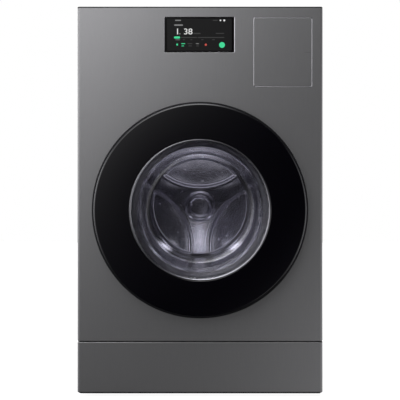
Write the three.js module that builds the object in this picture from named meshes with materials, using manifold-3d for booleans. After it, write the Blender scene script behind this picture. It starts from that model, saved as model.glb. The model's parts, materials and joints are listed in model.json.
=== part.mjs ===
// A free-standing front-loading washer dryer: one cabinet with one drum, a round door with a glass bowl,
// a heat pump above the tub and a dispenser drawer in the plinth.
// Millimetres. +Z is up, the front faces -Y, and the origin is on the floor under the middle of the machine.
import * as THREE from 'three';
import { mergeVertices } from 'three/addons/utils/BufferGeometryUtils.js';
import Module from 'manifold-3d';

const wasm = await Module();
wasm.setup();

// ---------------------------------------------------------------- driving dimensions
const WIDTH = 686;
const DEPTH = 873; // from the front of the door to the end of the water inlets
const DOOR_PROUD = 48; // how far the door stands out of the front face
const INLET_PROUD = 25; // how far the water inlets stand out of the back
const FRONT_Y = -DEPTH / 2 + DOOR_PROUD;
const CABINET_DEPTH = DEPTH - DOOR_PROUD - INLET_PROUD;
const FOOT_GAP = 13; // floor to the underside of the cabinet
const TOP_Z = 1090;
const SHEET = 1.2;
const EDGE_RADIUS = 8; // upright front edges of the cabinet
const FRONT_RETURN = 22; // how far the front wraps round the sides
const DRAWER_TOP = 155.5;
const DRAWER_BOTTOM = 14.9;
const PANEL_BOTTOM = 158.5;
const PANEL_TOP = TOP_Z - 3.3;

const AXIS_Z = 524.5; // height of the door, tub and drum axis
const DOOR_RADIUS = 291.5;
const OPENING_RADIUS = 222; // hole in the front panel
const DRUM_RADIUS = 278;
const DRUM_BACK = 642; // depth of the drum's back wall behind the front face
const DRUM_MOUTH = 207;
const TUB_RADIUS = 293.5;
const TUB_SEAM = 380.6;
const SHAFT_RADIUS = 17;
const ARM_ANGLES = [30, 150, 270]; // spider arms and lifters, seen from the front
const LIFTER_HALF = 70; // half the width of a lifter's foot
const LIFTER_CREST = 215; // distance of a lifter's crest from the axis

const HINGE_X = -281;
const HINGE_DEPTH = -24;
const DISPLAY = { x0: -98.4, x1: 95.0, z0: 964.2, z1: 1059.8 };
const FILTER = { x0: 150.6, x1: 310.9, z0: 868.0, z1: 1057.6 };
const FILTER_GAP = 2;
const PUMP_X = -290;
const PUMP_Z = 72;
const SPRING_X = 300;
const SPRING_DEPTH = 402;
const DAMPER_X = 298;
const BLOWER_X = 207;
const BLOWER_Z = 963;
const FOOT_X = 290;
const FOOT_DEPTHS = { front: 75, rear: 725 };

const ROUND = 40; // segments of the large turned parts
const SMALL_ROUND = 20;

// ---------------------------------------------------------------- geometry helpers
// Depths are measured back from the cabinet's front face.
const at = (depth) => FRONT_Y + depth;

function box(x0, x1, depth0, depth1, z0, z1) {
  const g = new THREE.BoxGeometry(x1 - x0, depth1 - depth0, z1 - z0);
  g.translate((x0 + x1) / 2, at((depth0 + depth1) / 2), (z0 + z1) / 2);
  return g;
}

function outline(points) {
  return new THREE.Shape(points.map(([x, y]) => new THREE.Vector2(x, y)));
}

// A shape in X and Z, as seen from the front, between two depths.
function slab(shape, depth0, depth1, curveSegments = 12) {
  const g = new THREE.ExtrudeGeometry(shape, { depth: depth1 - depth0, bevelEnabled: false, curveSegments });
  g.rotateX(Math.PI / 2);
  g.translate(0, at(depth1), 0);
  return g;
}

// A shape in X and Y, as seen from above, between two heights.
function column(shape, z0, z1, curveSegments = 6) {
  const g = new THREE.ExtrudeGeometry(shape, { depth: z1 - z0, bevelEnabled: false, curveSegments });
  g.translate(0, 0, z0);
  return g;
}

// A ring or solid turned about a line along Y. Points are [radius, depth].
function turned(points, segments = ROUND, x = 0, z = AXIS_Z) {
  const profile = points.map(([r, depth]) => new THREE.Vector2(r, at(depth)));
  if (profile[0].x > 0) profile.push(profile[0].clone());
  if (THREE.ShapeUtils.area(profile) < 0) profile.reverse();
  return new THREE.LatheGeometry(profile, segments).translate(x, 0, z);
}

// The same about an upright line. Points are [radius, height].
function turnedUpright(points, segments, x, depth) {
  const profile = points.map(([r, z]) => new THREE.Vector2(r, z));
  if (profile[0].x > 0) profile.push(profile[0].clone());
  if (THREE.ShapeUtils.area(profile) < 0) profile.reverse();
  return new THREE.LatheGeometry(profile, segments).rotateX(Math.PI / 2).translate(x, at(depth), 0);
}

// The closed outline of a wall of even thickness that follows a line of [radius, depth] points.
function wall(line, thickness) {
  const normals = line.slice(1).map(([r, d], i) => {
    const [r0, d0] = line[i];
    const length = Math.hypot(r - r0, d - d0);
    return [(d0 - d) / length, (r - r0) / length];
  });
  const offset = line.map(([r, d], i) => {
    const a = normals[Math.max(0, i - 1)];
    const b = normals[Math.min(i, normals.length - 1)];
    const scale = thickness / (1 + a[0] * b[0] + a[1] * b[1]);
    // A point on the axis stays on it.
    return [r === 0 ? 0 : r + (a[0] + b[0]) * scale, d + (a[1] + b[1]) * scale];
  });
  return [...line, ...offset.reverse()];
}

// A round bar or hose along a smooth curve through [x, depth, z] points.
function pipe(points, radius, sides, steps) {
  const curve = new THREE.CatmullRomCurve3(points.map(([x, d, z]) => new THREE.Vector3(x, at(d), z)));
  return swept(curve, radius, sides, steps);
}

function swept(curve, radius, sides, steps) {
  const section = outline(
    Array.from({ length: sides }, (_, i) => {
      const a = (i / sides) * 2 * Math.PI;
      return [radius * Math.cos(a), radius * Math.sin(a)];
    }),
  );
  return new THREE.ExtrudeGeometry(section, { steps, extrudePath: curve });
}

function solid(geometry) {
  const plain = geometry.clone();
  plain.deleteAttribute('normal');
  plain.deleteAttribute('uv');
  const merged = mergeVertices(plain, 1e-3);
  return new wasm.Manifold(
    new wasm.Mesh({
      numProp: 3,
      vertProperties: merged.attributes.position.array,
      triVerts: new Uint32Array(merged.index.array),
    }),
  );
}

function geometryOf(manifold) {
  const mesh = manifold.getMesh();
  return new THREE.BufferGeometry()
    .setAttribute('position', new THREE.BufferAttribute(mesh.vertProperties, 3))
    .setIndex(new THREE.BufferAttribute(mesh.triVerts, 1));
}

const join = (...pieces) => geometryOf(pieces.map(solid).reduce((a, b) => a.add(b)));
const cut = (piece, ...tools) => geometryOf(tools.map(solid).reduce((a, b) => a.subtract(b), solid(piece)));

// Points [outward, sideways] round the drum axis, with outward along the angle.
function aroundAxis(points, degrees) {
  const a = THREE.MathUtils.degToRad(degrees);
  return points.map(([out, side]) => [
    out * Math.cos(a) - side * Math.sin(a),
    AXIS_Z + out * Math.sin(a) + side * Math.cos(a),
  ]);
}

// ---------------------------------------------------------------- materials
const finish = (color, roughness, metalness) => {
  return new THREE.MeshStandardMaterial({ color, roughness, metalness });
};
const GRAPHITE = finish(0x5c5c5f, 0.38, 0.75);
const DARK_STEEL = finish(0x2b2b2d, 0.5, 0.5);
const ZINC = finish(0x9a9c9e, 0.45, 0.85);
const BLACK_GLASS = finish(0x050508, 0.06, 0.0);
const CLEAR_GLASS = finish(0xb9c0c6, 0.04, 0.0);
const BLACK_PLASTIC = finish(0x0d0d0f, 0.3, 0.0);
const GREY_PLASTIC = finish(0x4b4c50, 0.55, 0.0);
const WHITE_PLASTIC = finish(0xd7d8d8, 0.5, 0.0);
const BLUE_PLASTIC = finish(0x3f6f9f, 0.45, 0.0);
const TUB_PLASTIC = finish(0x8e9093, 0.6, 0.0);
const STAINLESS = finish(0xb5b6ba, 0.28, 1.0);
const ALUMINIUM = finish(0xa8aaad, 0.5, 0.9);
const IRON = finish(0x35363a, 0.8, 0.4);
const RUBBER = finish(0x4a4a4d, 0.75, 0.0);
const COPPER = finish(0xb06a3c, 0.35, 1.0);
const SCREEN = finish(0x0a0b0c, 0.08, 0.0);

const machine = new THREE.Group();
function add(name, geometry, material) {
  const mesh = new THREE.Mesh(geometry, material);
  mesh.name = name;
  machine.add(mesh);
}

// ---------------------------------------------------------------- cabinet shell
// The plan of a front that wraps round both sides on rounded edges, as a skin of even thickness.
function wrapPlan(thickness) {
  const half = WIDTH / 2;
  const shape = new THREE.Shape();
  shape.moveTo(-half, at(FRONT_RETURN));
  shape.lineTo(-half, at(EDGE_RADIUS));
  shape.absarc(-half + EDGE_RADIUS, at(EDGE_RADIUS), EDGE_RADIUS, Math.PI, 1.5 * Math.PI, false);
  shape.absarc(half - EDGE_RADIUS, at(EDGE_RADIUS), EDGE_RADIUS, 1.5 * Math.PI, 2 * Math.PI, false);
  shape.lineTo(half, at(FRONT_RETURN));
  shape.lineTo(half - thickness, at(FRONT_RETURN));
  const inner = EDGE_RADIUS - thickness;
  shape.absarc(half - EDGE_RADIUS, at(EDGE_RADIUS), inner, 0, -0.5 * Math.PI, true);
  shape.absarc(-half + EDGE_RADIUS, at(EDGE_RADIUS), inner, -0.5 * Math.PI, -Math.PI, true);
  shape.lineTo(-half + thickness, at(FRONT_RETURN));
  return shape;
}

function frontPanel() {
  const thickness = 1.5;
  const g = 0.6;
  return cut(
    column(wrapPlan(thickness), PANEL_BOTTOM, PANEL_TOP),
    turned([[0, -5], [OPENING_RADIUS, -5], [OPENING_RADIUS, 6], [0, 6]], 64),
    box(DISPLAY.x0 - g, DISPLAY.x1 + g, -5, 6, DISPLAY.z0 - g, DISPLAY.z1 + g),
    box(FILTER.x0 - FILTER_GAP, FILTER.x1 + FILTER_GAP, -5, 6, FILTER.z0 - FILTER_GAP, FILTER.z1 + FILTER_GAP),
    box(227, 246, -5, 6, AXIS_Z - 17, AXIS_Z + 17),
  );
}

// A side sheet with a return along each upright edge and the bracket that a tub spring hangs from.
function sidePanel(side) {
  const flange = 12;
  const outer = WIDTH / 2;
  const skin = outline([
    [outer, at(23)],
    [outer, at(798.4)],
    [outer - flange, at(798.4)],
    [outer - flange, at(797.2)],
    [outer - SHEET, at(797.2)],
    [outer - SHEET, at(24.2)],
    [outer - flange, at(24.2)],
    [outer - flange, at(23)],
  ]);
  const bracket = box(SPRING_X - 14, outer - SHEET / 2, SPRING_DEPTH - 18, SPRING_DEPTH + 18, 990, 1002);
  const right = join(column(skin, FOOT_GAP + 0.2, PANEL_TOP - 0.2), bracket);
  return side > 0 ? right : geometryOf(solid(right).mirror([1, 0, 0]));
}

function basePan() {
  const half = WIDTH / 2 - 12.4; // clear of the side panels' returns
  const tray = cut(
    box(-half, half, 2, 797.8, FOOT_GAP, 50),
    box(-half + 1.5, half - 1.5, -5, 796.3, FOOT_GAP + 1.5, 60),
    box(-half - 5, half + 5, -5, 24, FOOT_GAP + 1.5, 60),
  );
  const holes = [];
  for (const x of [-FOOT_X, FOOT_X])
    for (const depth of Object.values(FOOT_DEPTHS))
      holes.push(turnedUpright([[0, 5], [5.6, 5], [5.6, 25], [0, 25]], 16, x, depth));
  return cut(tray, ...holes);
}

function topPanel() {
  const half = WIDTH / 2;
  const r = EDGE_RADIUS;
  const plan = new THREE.Shape();
  plan.moveTo(-half, at(CABINET_DEPTH));
  plan.lineTo(-half, at(r));
  plan.absarc(-half + r, at(r), r, Math.PI, 1.5 * Math.PI, false);
  plan.absarc(half - r, at(r), r, 1.5 * Math.PI, 2 * Math.PI, false);
  plan.lineTo(half, at(CABINET_DEPTH));
  return cut(
    column(plan, TOP_Z - 3, TOP_Z),
    box(-half + 2.5, half - 2.5, 9, CABINET_DEPTH - 2, TOP_Z - 10, TOP_Z - 1.4),
  );
}

const VENT = { x0: -110, x1: 90, z0: 930, step: 16, count: 6 };
function rearPanel() {
  const half = WIDTH / 2 - 0.2;
  const vents = [];
  for (let i = 0; i < VENT.count; i++) {
    const z = VENT.z0 + i * VENT.step;
    vents.push(box(VENT.x0, VENT.x1, 795, 805, z, z + 6));
  }
  return cut(
    box(-half, half, CABINET_DEPTH - SHEET, CABINET_DEPTH, 16, PANEL_TOP - 0.2),
    box(212, 288, 795, 805, 984, 1016),
    turned([[0, 795], [10.5, 795], [10.5, 805], [0, 805]], 16, -280, 985),
    turned([[0, 795], [12, 795], [12, 805], [0, 805]], 16, -280, 200),
    turned([[0, 795], [150, 795], [150, 805], [0, 805]], 32),
    ...vents,
  );
}

add('base_pan', basePan(), ZINC);
add('side_panel_left', sidePanel(-1), GRAPHITE);
add('side_panel_right', sidePanel(1), GRAPHITE);
add('front_panel', frontPanel(), GRAPHITE);
add('rear_panel', rearPanel(), ZINC);
const coverDish = [[0, 806], [150, 806], [164, 800.3], [164, 801.5], [150.5, 807.2], [0, 807.2]];
add('rear_service_cover', turned(coverDish, 32), ZINC);
add('top_panel', topPanel(), DARK_STEEL);

for (const [place, depth] of Object.entries(FOOT_DEPTHS))
  for (const [side, x] of [['left', -FOOT_X], ['right', FOOT_X]])
    add(
      `foot_${place}_${side}`,
      turnedUpright(
        [[0, 0], [18, 0], [20, 2], [20, 7], [15, 11], [9, 12], [5, 12], [5, 32], [0, 32]],
        18, x, depth,
      ),
      RUBBER,
    );

// ---------------------------------------------------------------- things behind and in the front panel
add('display_glass', box(DISPLAY.x0, DISPLAY.x1, 0.2, 3.4, DISPLAY.z0, DISPLAY.z1), SCREEN);

const filterDoorReturn = 10;
add(
  'filter_door',
  cut(
    box(FILTER.x0, FILTER.x1, 0, filterDoorReturn, FILTER.z0, FILTER.z1),
    box(FILTER.x0 + 2, FILTER.x1 - 2, 2, filterDoorReturn + 5, FILTER.z0 + 2, FILTER.z1 - 2),
  ),
  GRAPHITE,
);

// The filter is a frame with a grip across its front; air passes through it sideways.
function lintFilter() {
  const frame = cut(box(153, 310, 24, 325, 871, 1055), box(140, 320, 34, 315, 883, 1043));
  const grip = box(222, 240, 13, 26, 900, 1026);
  return join(frame, cut(grip, box(221, 241, 19, 24.2, 915, 1011)));
}
add('lint_filter', lintFilter(), GREY_PLASTIC);

// One moulding: the sleeve of the lint filter, the duct with the heat exchanger, and the blower chamber,
// on a shelf that spans the cabinet above the tub.
function airDuctCase() {
  const shell = join(
    box(146.5, 316, 13.5, 338, 863.5, 1062),
    box(128, 286, 336, 720, 863.5, 1062),
    box(-336, 336, 430, 770, 850, 864),
  );
  return cut(
    shell,
    box(149.5, 313, 5, 335, 866.5, 1059),
    box(149.5, 283, 330, 717, 866.5, 1059),
    box(131, 160, 338.5, 717, 866.5, 1059),
    box(-333, 333, 433, 767, 840, 861),
  );
}
add('air_duct_case', airDuctCase(), WHITE_PLASTIC);

// Finned evaporator and condenser, joined by their tube bends.
function heatExchanger() {
  const fins = 14;
  const pitch = 10;
  const comb = [[-70, 0]];
  for (let i = 0; i < fins; i++) {
    const x = -70 + i * pitch;
    comb.push([x, 172], [x + 3, 172]);
    if (i < fins - 1) comb.push([x + 3, 14], [x + pitch, 14]);
  }
  comb.push([-70 + (fins - 1) * pitch + 3, 0]);
  const shape = outline(comb.map(([x, z]) => [x + BLOWER_X + 3, z + 874]));
  const bend = (z) => pipe([[148, 424, z], [139, 440, z], [148, 456, z]], 4, 8, 8);
  return join(slab(shape, 350, 430), slab(shape, 450, 560), bend(881), box(200, 214, 429, 451, 875, 885));
}
add('heat_exchanger', heatExchanger(), ALUMINIUM);

function blowerWheel() {
  const plate = turned([[0, 694], [66, 694], [66, 698], [18, 698], [14, 684], [0, 684]], 24, BLOWER_X, BLOWER_Z);
  const blades = [];
  for (let i = 0; i < 12; i++) {
    const blade = new THREE.BoxGeometry(22, 46, 3);
    blade.translate(53, at(672), 0);
    blade.rotateY((i / 12) * 2 * Math.PI);
    blade.translate(BLOWER_X, 0, BLOWER_Z);
    blades.push(blade);
  }
  return join(plate, ...blades);
}
add('blower_wheel', blowerWheel(), BLACK_PLASTIC);

const COMPRESSOR = { x: -40, depth: 560, radius: 60 };
add(
  'compressor',
  turnedUpright(
    [[0, 864.5], [52, 864.5], [52, 872], [46, 876], [60, 884], [60, 1010], [48, 1030], [12, 1040], [12, 1050], [0, 1050]],
    24,
    COMPRESSOR.x,
    COMPRESSOR.depth,
  ),
  IRON,
);
add(
  'control_box',
  cut(box(-326, -150, 40, 250, 880, 1060), box(-323, -153, 43, 247, 883, 1070)),
  GREY_PLASTIC,
);

// ---------------------------------------------------------------- tub, sprung in the cabinet
add(
  'tub_front',
  turned([
    ...wall([[214, 96], [214, 120], [290, 120], [290, TUB_SEAM]], -3.5).slice(0, 4),
    [301, TUB_SEAM],
    [301, 372],
    [TUB_RADIUS, 368],
    [TUB_RADIUS, 116.5],
    [217.5, 116.5],
    [217.5, 96],
  ]),
  TUB_PLASTIC,
);

function tubRear() {
  const shell = turned([
    [290, 381],
    [301, 381],
    [301, 389],
    [TUB_RADIUS, 393],
    [TUB_RADIUS, 697],
    [62, 697],
    [58, 745],
    [36.4, 745],
    [36.4, 690],
    [290, 690],
  ]);
  const ears = [];
  for (const side of [-1, 1]) {
    const ear = (inner, z0, z1) => {
      const [x0, x1] = side > 0 ? [inner, 314] : [-314, -inner];
      return box(x0, x1, SPRING_DEPTH - 9, SPRING_DEPTH + 15, z0, z1);
    };
    ears.push(ear(231.5, AXIS_Z + 175.5, AXIS_Z + 187.5));
    ears.push(ear(266, AXIS_Z - 128.5, AXIS_Z - 116.5));
  }
  return join(shell, ...ears);
}
add('tub_rear', tubRear(), TUB_PLASTIC);

// Iron weights bolted to the front of the tub, above and below its mouth.
function counterweight(middle) {
  const half = THREE.MathUtils.degToRad(58);
  const a = THREE.MathUtils.degToRad(middle);
  const shape = new THREE.Shape();
  shape.absarc(0, AXIS_Z, 294, a - half, a + half, false);
  shape.absarc(0, AXIS_Z, 234, a + half, a - half, true);
  return slab(shape, 62, 116, 14);
}
add('counterweight_upper', counterweight(90), IRON);
add('counterweight_lower', counterweight(270), IRON);

const stator = { inner: 62.6, outer: 117 };
const bearingBore = SHAFT_RADIUS + 0.4;
add('drum_bearing', turned([[bearingBore, 700], [36, 700], [36, 742], [bearingBore, 742]], 24), STAINLESS);
const statorSection = [[stator.inner, 704], [stator.outer, 704], [stator.outer, 738], [stator.inner, 738]];
add('motor_stator', turned(statorSection, 32), COPPER);

// Grey rubber bellows from the front panel's opening to the neck of the tub, with a lip round the glass bowl.
add(
  'door_gasket',
  turned(
    wall(
      [
        [219.5, 3],
        [213, 5],
        [198, 8],
        [182.5, 12],
        [183.5, 16.5],
        [199, 14],
        [207, 22],
        [207, 44],
        [192, 52],
        [192, 62],
        [208, 68],
        [217.8, 84],
        [217.8, 108],
      ],
      -3.2,
    ),
  ),
  RUBBER,
);

class Coil extends THREE.Curve {
  constructor(x, depth, z0, z1, radius, turns) {
    super();
    Object.assign(this, { x, depth, z0, z1, radius, turns });
  }

  getPoint(t, target = new THREE.Vector3()) {
    const a = t * this.turns * 2 * Math.PI;
    const z = this.z0 + t * (this.z1 - this.z0);
    return target.set(this.x + this.radius * Math.cos(a), at(this.depth) + this.radius * Math.sin(a), z);
  }
}

for (const [side, sign] of [['left', -1], ['right', 1]]) {
  const coil = new Coil(sign * SPRING_X, SPRING_DEPTH, AXIS_Z + 187.5 + 4, 986, 11, 10);
  add(`tub_spring_${side}`, swept(coil, 2.2, 4, 70), STAINLESS);
  add(
    `damper_cylinder_${side}`,
    turnedUpright([[0, 15], [17, 15], [17, 285], [9, 285], [9, 32], [0, 32]], 18, sign * DAMPER_X, SPRING_DEPTH),
    DARK_STEEL,
  );
  add(
    `damper_rod_${side}`,
    turnedUpright([[0, 180], [7.5, 180], [7.5, 200], [5, 202], [5, 386], [10, 388], [10, 395.5], [0, 395.5]], 14,
      sign * DAMPER_X, SPRING_DEPTH),
    STAINLESS,
  );
}

// ---------------------------------------------------------------- drum
add(
  'drum_shell',
  turned(
    wall(
      [
        [0, DRUM_BACK], [262, DRUM_BACK], [DRUM_RADIUS, 626], [DRUM_RADIUS, 158],
        [262, 146], [213, 135.5], [DRUM_MOUTH, 130],
      ],
      -1.2,
    ),
  ),
  STAINLESS,
);

// A hollow moulding, open towards the drum's wall.
function lifter(degrees) {
  const seat = 275; // radius of the foot, just inside the drum's wall
  const skin = 3;
  const foot = [-LIFTER_HALF, -40, 0, 40, LIFTER_HALF].map((side) => [Math.sqrt(seat ** 2 - side ** 2), side]);
  const crest = [[238, 60], [223, 46], [216.5, 30], [LIFTER_CREST, 0], [216.5, -30], [223, -46], [238, -60]];
  const hollow = [[290, -66], [290, 66], ...crest.map(([out, side]) => [out + skin, side * 0.95])];
  return cut(
    slab(outline(aroundAxis([...foot, ...crest], degrees)), 172, 604),
    slab(outline(aroundAxis(hollow, degrees)), 172 + skin, 604 - skin),
  );
}
ARM_ANGLES.forEach((degrees, i) => add(`drum_lifter_${i + 1}`, lifter(degrees), GREY_PLASTIC));

function spider() {
  const arms = ARM_ANGLES.map((degrees) =>
    slab(outline(aroundAxis([[20, -28], [262, -18], [262, 18], [20, 28]], degrees)), 646, 670),
  );
  const hub = turned([[0, 644], [44, 644], [40, 680], [SHAFT_RADIUS, 682], [SHAFT_RADIUS, 784], [0, 784]], 24);
  return join(hub, ...arms);
}
add('drum_spider', spider(), ALUMINIUM);
add(
  'motor_rotor',
  turned(
    [[17.4, 748], [30, 748], [34, 756], [124, 756], [124, 706], [131, 706], [131, 762], [17.4, 762]],
    32,
  ),
  DARK_STEEL,
);

// ---------------------------------------------------------------- door
const hingePocket = () => box(-300, -240, -37, 3, AXIS_Z - 68, AXIS_Z + 68);
const gripPocket = () => box(258, 300, -26, 3, AXIS_Z - 60, AXIS_Z + 60);

const rimSection = [
  [285.6, -44],
  [288.5, -44],
  [DOOR_RADIUS, -40.5],
  [DOOR_RADIUS, -16],
  [288.5, -8.5],
  [281.5, -4.5],
  [276.5, -4.5],
  [276.5, -8.5],
  [280.5, -8.8],
  [285, -12],
  [287.5, -18],
  [287.5, -39],
  [285.6, -40],
];
add('door_rim', cut(turned(rimSection, 60), hingePocket(), gripPocket()), BLACK_PLASTIC);
add(
  'door_cover_glass',
  turned([[189.5, -DOOR_PROUD], [281, -DOOR_PROUD], [285, -44.5], [285, -40.3], [189.5, -40.3]], 60),
  BLACK_GLASS,
);
add(
  'door_inner_frame',
  cut(
    turned([
      [200, -40],
      [203, -40],
      [203, -9.5],
      [272.8, -9.5],
      [272.8, -40],
      [275.8, -40],
      [275.8, -5.5],
      [200, -5.5],
    ]),
    hingePocket(),
    gripPocket(),
  ),
  GREY_PLASTIC,
);
add(
  'door_bowl',
  turned(
    wall(
      [
        [0, 98],
        [60, 97],
        [110, 94],
        [148, 87.5],
        [163, 79],
        [171, 65],
        [173.5, 46],
        [177, 12],
        [185, -16],
        [189.5, -27],
        [199.4, -31],
      ],
      -5,
    ),
  ),
  CLEAR_GLASS,
);

function doorHook() {
  const plan = outline([
    [231, at(-5.2)], [240, at(-5.2)], [240, at(12)], [243, at(16)],
    [240, at(24)], [236, at(24)], [236, at(2)], [231, at(2)],
  ]);
  return column(plan, AXIS_Z - 10, AXIS_Z + 10);
}
add('door_hook', doorHook(), STAINLESS);
add(
  'door_lock',
  cut(
    box(224.5, 268, 3, 50, AXIS_Z - 36, AXIS_Z + 36),
    box(228, 248, -2, 32, AXIS_Z - 15, AXIS_Z + 15),
  ),
  GREY_PLASTIC,
);

// An upright round bar on the hinge line.
const hingeBar = (radius, z0, z1) =>
  turnedUpright([[0, z0], [radius, z0], [radius, z1], [0, z1]], SMALL_ROUND, HINGE_X, HINGE_DEPTH);

function hingeBracket() {
  const armPlan = outline([
    [-243, at(-1)], [-256, at(-1)], [-286, at(-21)],
    [-281, at(-29)], [-274, at(-27)], [-243, at(-5)],
  ]);
  const pieces = [
    box(-262, -238, -3.2, -0.3, AXIS_Z - 62, AXIS_Z + 62),
    hingeBar(3.5, AXIS_Z - 50, AXIS_Z + 50),
  ];
  for (const [z0, z1] of [[AXIS_Z - 50, AXIS_Z - 36], [AXIS_Z + 36, AXIS_Z + 50]])
    pieces.push(column(armPlan, z0, z1), hingeBar(7, z0, z1));
  // The plate and the arms stay clear of the front panel.
  return cut(join(...pieces), box(-300, -200, -0.3, 20, AXIS_Z - 100, AXIS_Z + 100));
}
add('hinge_bracket', hingeBracket(), STAINLESS);
add(
  'door_hinge_arm',
  cut(
    join(hingeBar(7, AXIS_Z - 34, AXIS_Z + 34), box(HINGE_X, -204.5, -33, -29.5, AXIS_Z - 30, AXIS_Z + 30)),
    hingeBar(3.9, AXIS_Z - 60, AXIS_Z + 60),
  ),
  STAINLESS,
);

// ---------------------------------------------------------------- dispenser drawer in the plinth
function drawerFront() {
  const half = WIDTH / 2 - EDGE_RADIUS;
  return join(
    column(wrapPlan(2.5), DRAWER_BOTTOM, DRAWER_TOP),
    box(-half, half, 1, 8, DRAWER_BOTTOM + 1, DRAWER_BOTTOM + 3.5),
    box(-half, half, 1, 8, DRAWER_TOP - 3.5, DRAWER_TOP - 1),
    box(-236, 236, 1.5, 22, 40, 100),
  );
}
add('drawer_front', drawerFront(), GRAPHITE);
add(
  'drawer_housing',
  cut(
    box(-246, 246, 26, 392, 16, 152.5),
    box(-244, 244, 20, 390, 25.5, 150.5),
    box(-200, 200, 20, 390, 18, 40),
  ),
  GREY_PLASTIC,
);
add(
  'drawer_tray',
  cut(
    box(-238, 238, 22.4, 372, 26, 112),
    box(-235.5, 150, 25, 369.5, 28.5, 120),
    box(152.5, 235.5, 25, 369.5, 28.5, 120),
  ),
  WHITE_PLASTIC,
);
add(
  'dispenser_tank',
  cut(box(-234, 148, 27, 368, 29, 98), box(-232, -21, 29, 366, 31, 110), box(-19, 146, 29, 366, 31, 110)),
  BLUE_PLASTIC,
);
const FILLERS = { detergent: -125, softener: 64 };
const FILLER_DEPTH = 110;
add(
  'tank_cover',
  cut(
    box(-234, 148, 27, 368, 98.3, 101.3),
    ...Object.values(FILLERS).map((x) => (
      turnedUpright([[0, 90], [14, 90], [14, 110], [0, 110]], 16, x, FILLER_DEPTH)
    )),
  ),
  WHITE_PLASTIC,
);
for (const [name, x] of Object.entries(FILLERS))
  add(
    `${name}_cap`,
    join(
      turnedUpright([[0, 101.7], [17, 101.7], [17, 105], [15, 106], [0, 106]], 18, x, FILLER_DEPTH),
      box(x - 6, x + 6, FILLER_DEPTH, FILLER_DEPTH + 20.5, 102.4, 105),
    ),
    BLUE_PLASTIC,
  );

// ---------------------------------------------------------------- drain pump and hoses
function drainPump() {
  const body = turned(
    [[32, 50], [37, 50], [37, 148], [40, 150], [40, 173], [30, 176], [30, 235], [0, 235], [0, 171], [32, 171]],
    SMALL_ROUND,
    PUMP_X,
    PUMP_Z,
  );
  const stub = (depth, radius, top) =>
    turnedUpright([[0, PUMP_Z + 34], [radius, PUMP_Z + 34], [radius, top], [0, top]], 12, PUMP_X, depth);
  return join(body, stub(100, 12, 124), stub(160, 8, 128), box(PUMP_X - 26, PUMP_X + 26, 92, 150, 14.8, 38));
}
add('drain_pump', drainPump(), GREY_PLASTIC);

function pumpFilter() {
  const section = [
    [0, 38], [34, 38], [35, 41], [35, 49.5], [29, 49.5], [29, 142], [26, 142], [26, 50], [0, 48],
  ];
  const cap = turned(section, 18, PUMP_X, PUMP_Z);
  return join(cap, box(PUMP_X - 4, PUMP_X + 4, 28, 39, PUMP_Z - 24, PUMP_Z + 24));
}
add('pump_filter', pumpFilter(), BLUE_PLASTIC);

function pumpImpeller() {
  const hub = turned([[0, 153], [6, 153], [6, 160], [24, 162], [24, 166], [0, 166]], 12, PUMP_X, PUMP_Z);
  const blades = [0, 90].map((degrees) => {
    const blade = new THREE.BoxGeometry(44, 10, 2.5);
    blade.rotateY(THREE.MathUtils.degToRad(degrees));
    return blade.translate(PUMP_X, at(158), PUMP_Z);
  });
  return join(hub, ...blades);
}
add('pump_impeller', pumpImpeller(), BLACK_PLASTIC);

add(
  'sump_hose',
  pipe(
    [
      [-60, 330, 230.5],
      [-66, 326, 210],
      [-130, 270, 190],
      [-210, 190, 186],
      [-268, 124, 178],
      [PUMP_X, 100, 150],
      [PUMP_X, 100, 126.5],
    ],
    12,
    10,
    24,
  ),
  RUBBER,
);
add(
  'drain_pipe',
  pipe(
    [
      [PUMP_X, 160, 130.5],
      [PUMP_X, 160, 146],
      [-322, 230, 162],
      [-325, 400, 164],
      [-323, 640, 172],
      [-296, 740, 192],
      [-280, 790, 200],
      [-280, 822, 200],
    ],
    8,
    8,
    34,
  ),
  RUBBER,
);

// ---------------------------------------------------------------- connections at the back
function inletValve() {
  const port = (x) =>
    turned([[0, 790], [11, 790], [11, 803], [13.2, 803], [13.2, 825], [9, 825], [9, 808], [0, 808]], 16, x, 1000);
  return join(box(214, 286, 762, 797, 986, 1014), port(230), port(270));
}
add('inlet_valve', inletValve(), WHITE_PLASTIC);
add(
  'cord_gland',
  turned([[4, 790], [15, 790], [15, 797.6], [10, 797.6], [10, 801.5], [14, 801.5], [14, 806], [9, 814], [4, 814]], 16, -280, 985),
  BLACK_PLASTIC,
);

export default machine;
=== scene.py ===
"""A free-standing washer dryer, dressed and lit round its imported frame.

Sizes are in millimetres where they are typed in, and every place comes from the frame's own boxes.
"""
import json
import math

import bmesh
import bpy
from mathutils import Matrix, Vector


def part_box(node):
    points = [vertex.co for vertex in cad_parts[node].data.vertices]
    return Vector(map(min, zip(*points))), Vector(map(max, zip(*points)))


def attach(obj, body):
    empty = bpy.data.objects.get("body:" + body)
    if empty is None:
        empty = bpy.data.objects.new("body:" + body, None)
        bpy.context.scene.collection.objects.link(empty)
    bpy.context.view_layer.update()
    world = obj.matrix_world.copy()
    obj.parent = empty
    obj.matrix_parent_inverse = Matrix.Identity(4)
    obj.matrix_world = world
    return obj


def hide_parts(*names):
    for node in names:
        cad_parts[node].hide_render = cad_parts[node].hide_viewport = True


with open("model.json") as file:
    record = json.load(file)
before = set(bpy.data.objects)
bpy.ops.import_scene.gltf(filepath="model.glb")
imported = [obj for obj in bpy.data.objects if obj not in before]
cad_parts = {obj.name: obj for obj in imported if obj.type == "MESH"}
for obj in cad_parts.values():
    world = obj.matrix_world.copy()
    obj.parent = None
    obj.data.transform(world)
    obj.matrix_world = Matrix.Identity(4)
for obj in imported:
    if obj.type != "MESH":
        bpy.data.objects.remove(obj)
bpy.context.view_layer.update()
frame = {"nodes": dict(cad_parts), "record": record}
MM = 0.001

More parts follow.
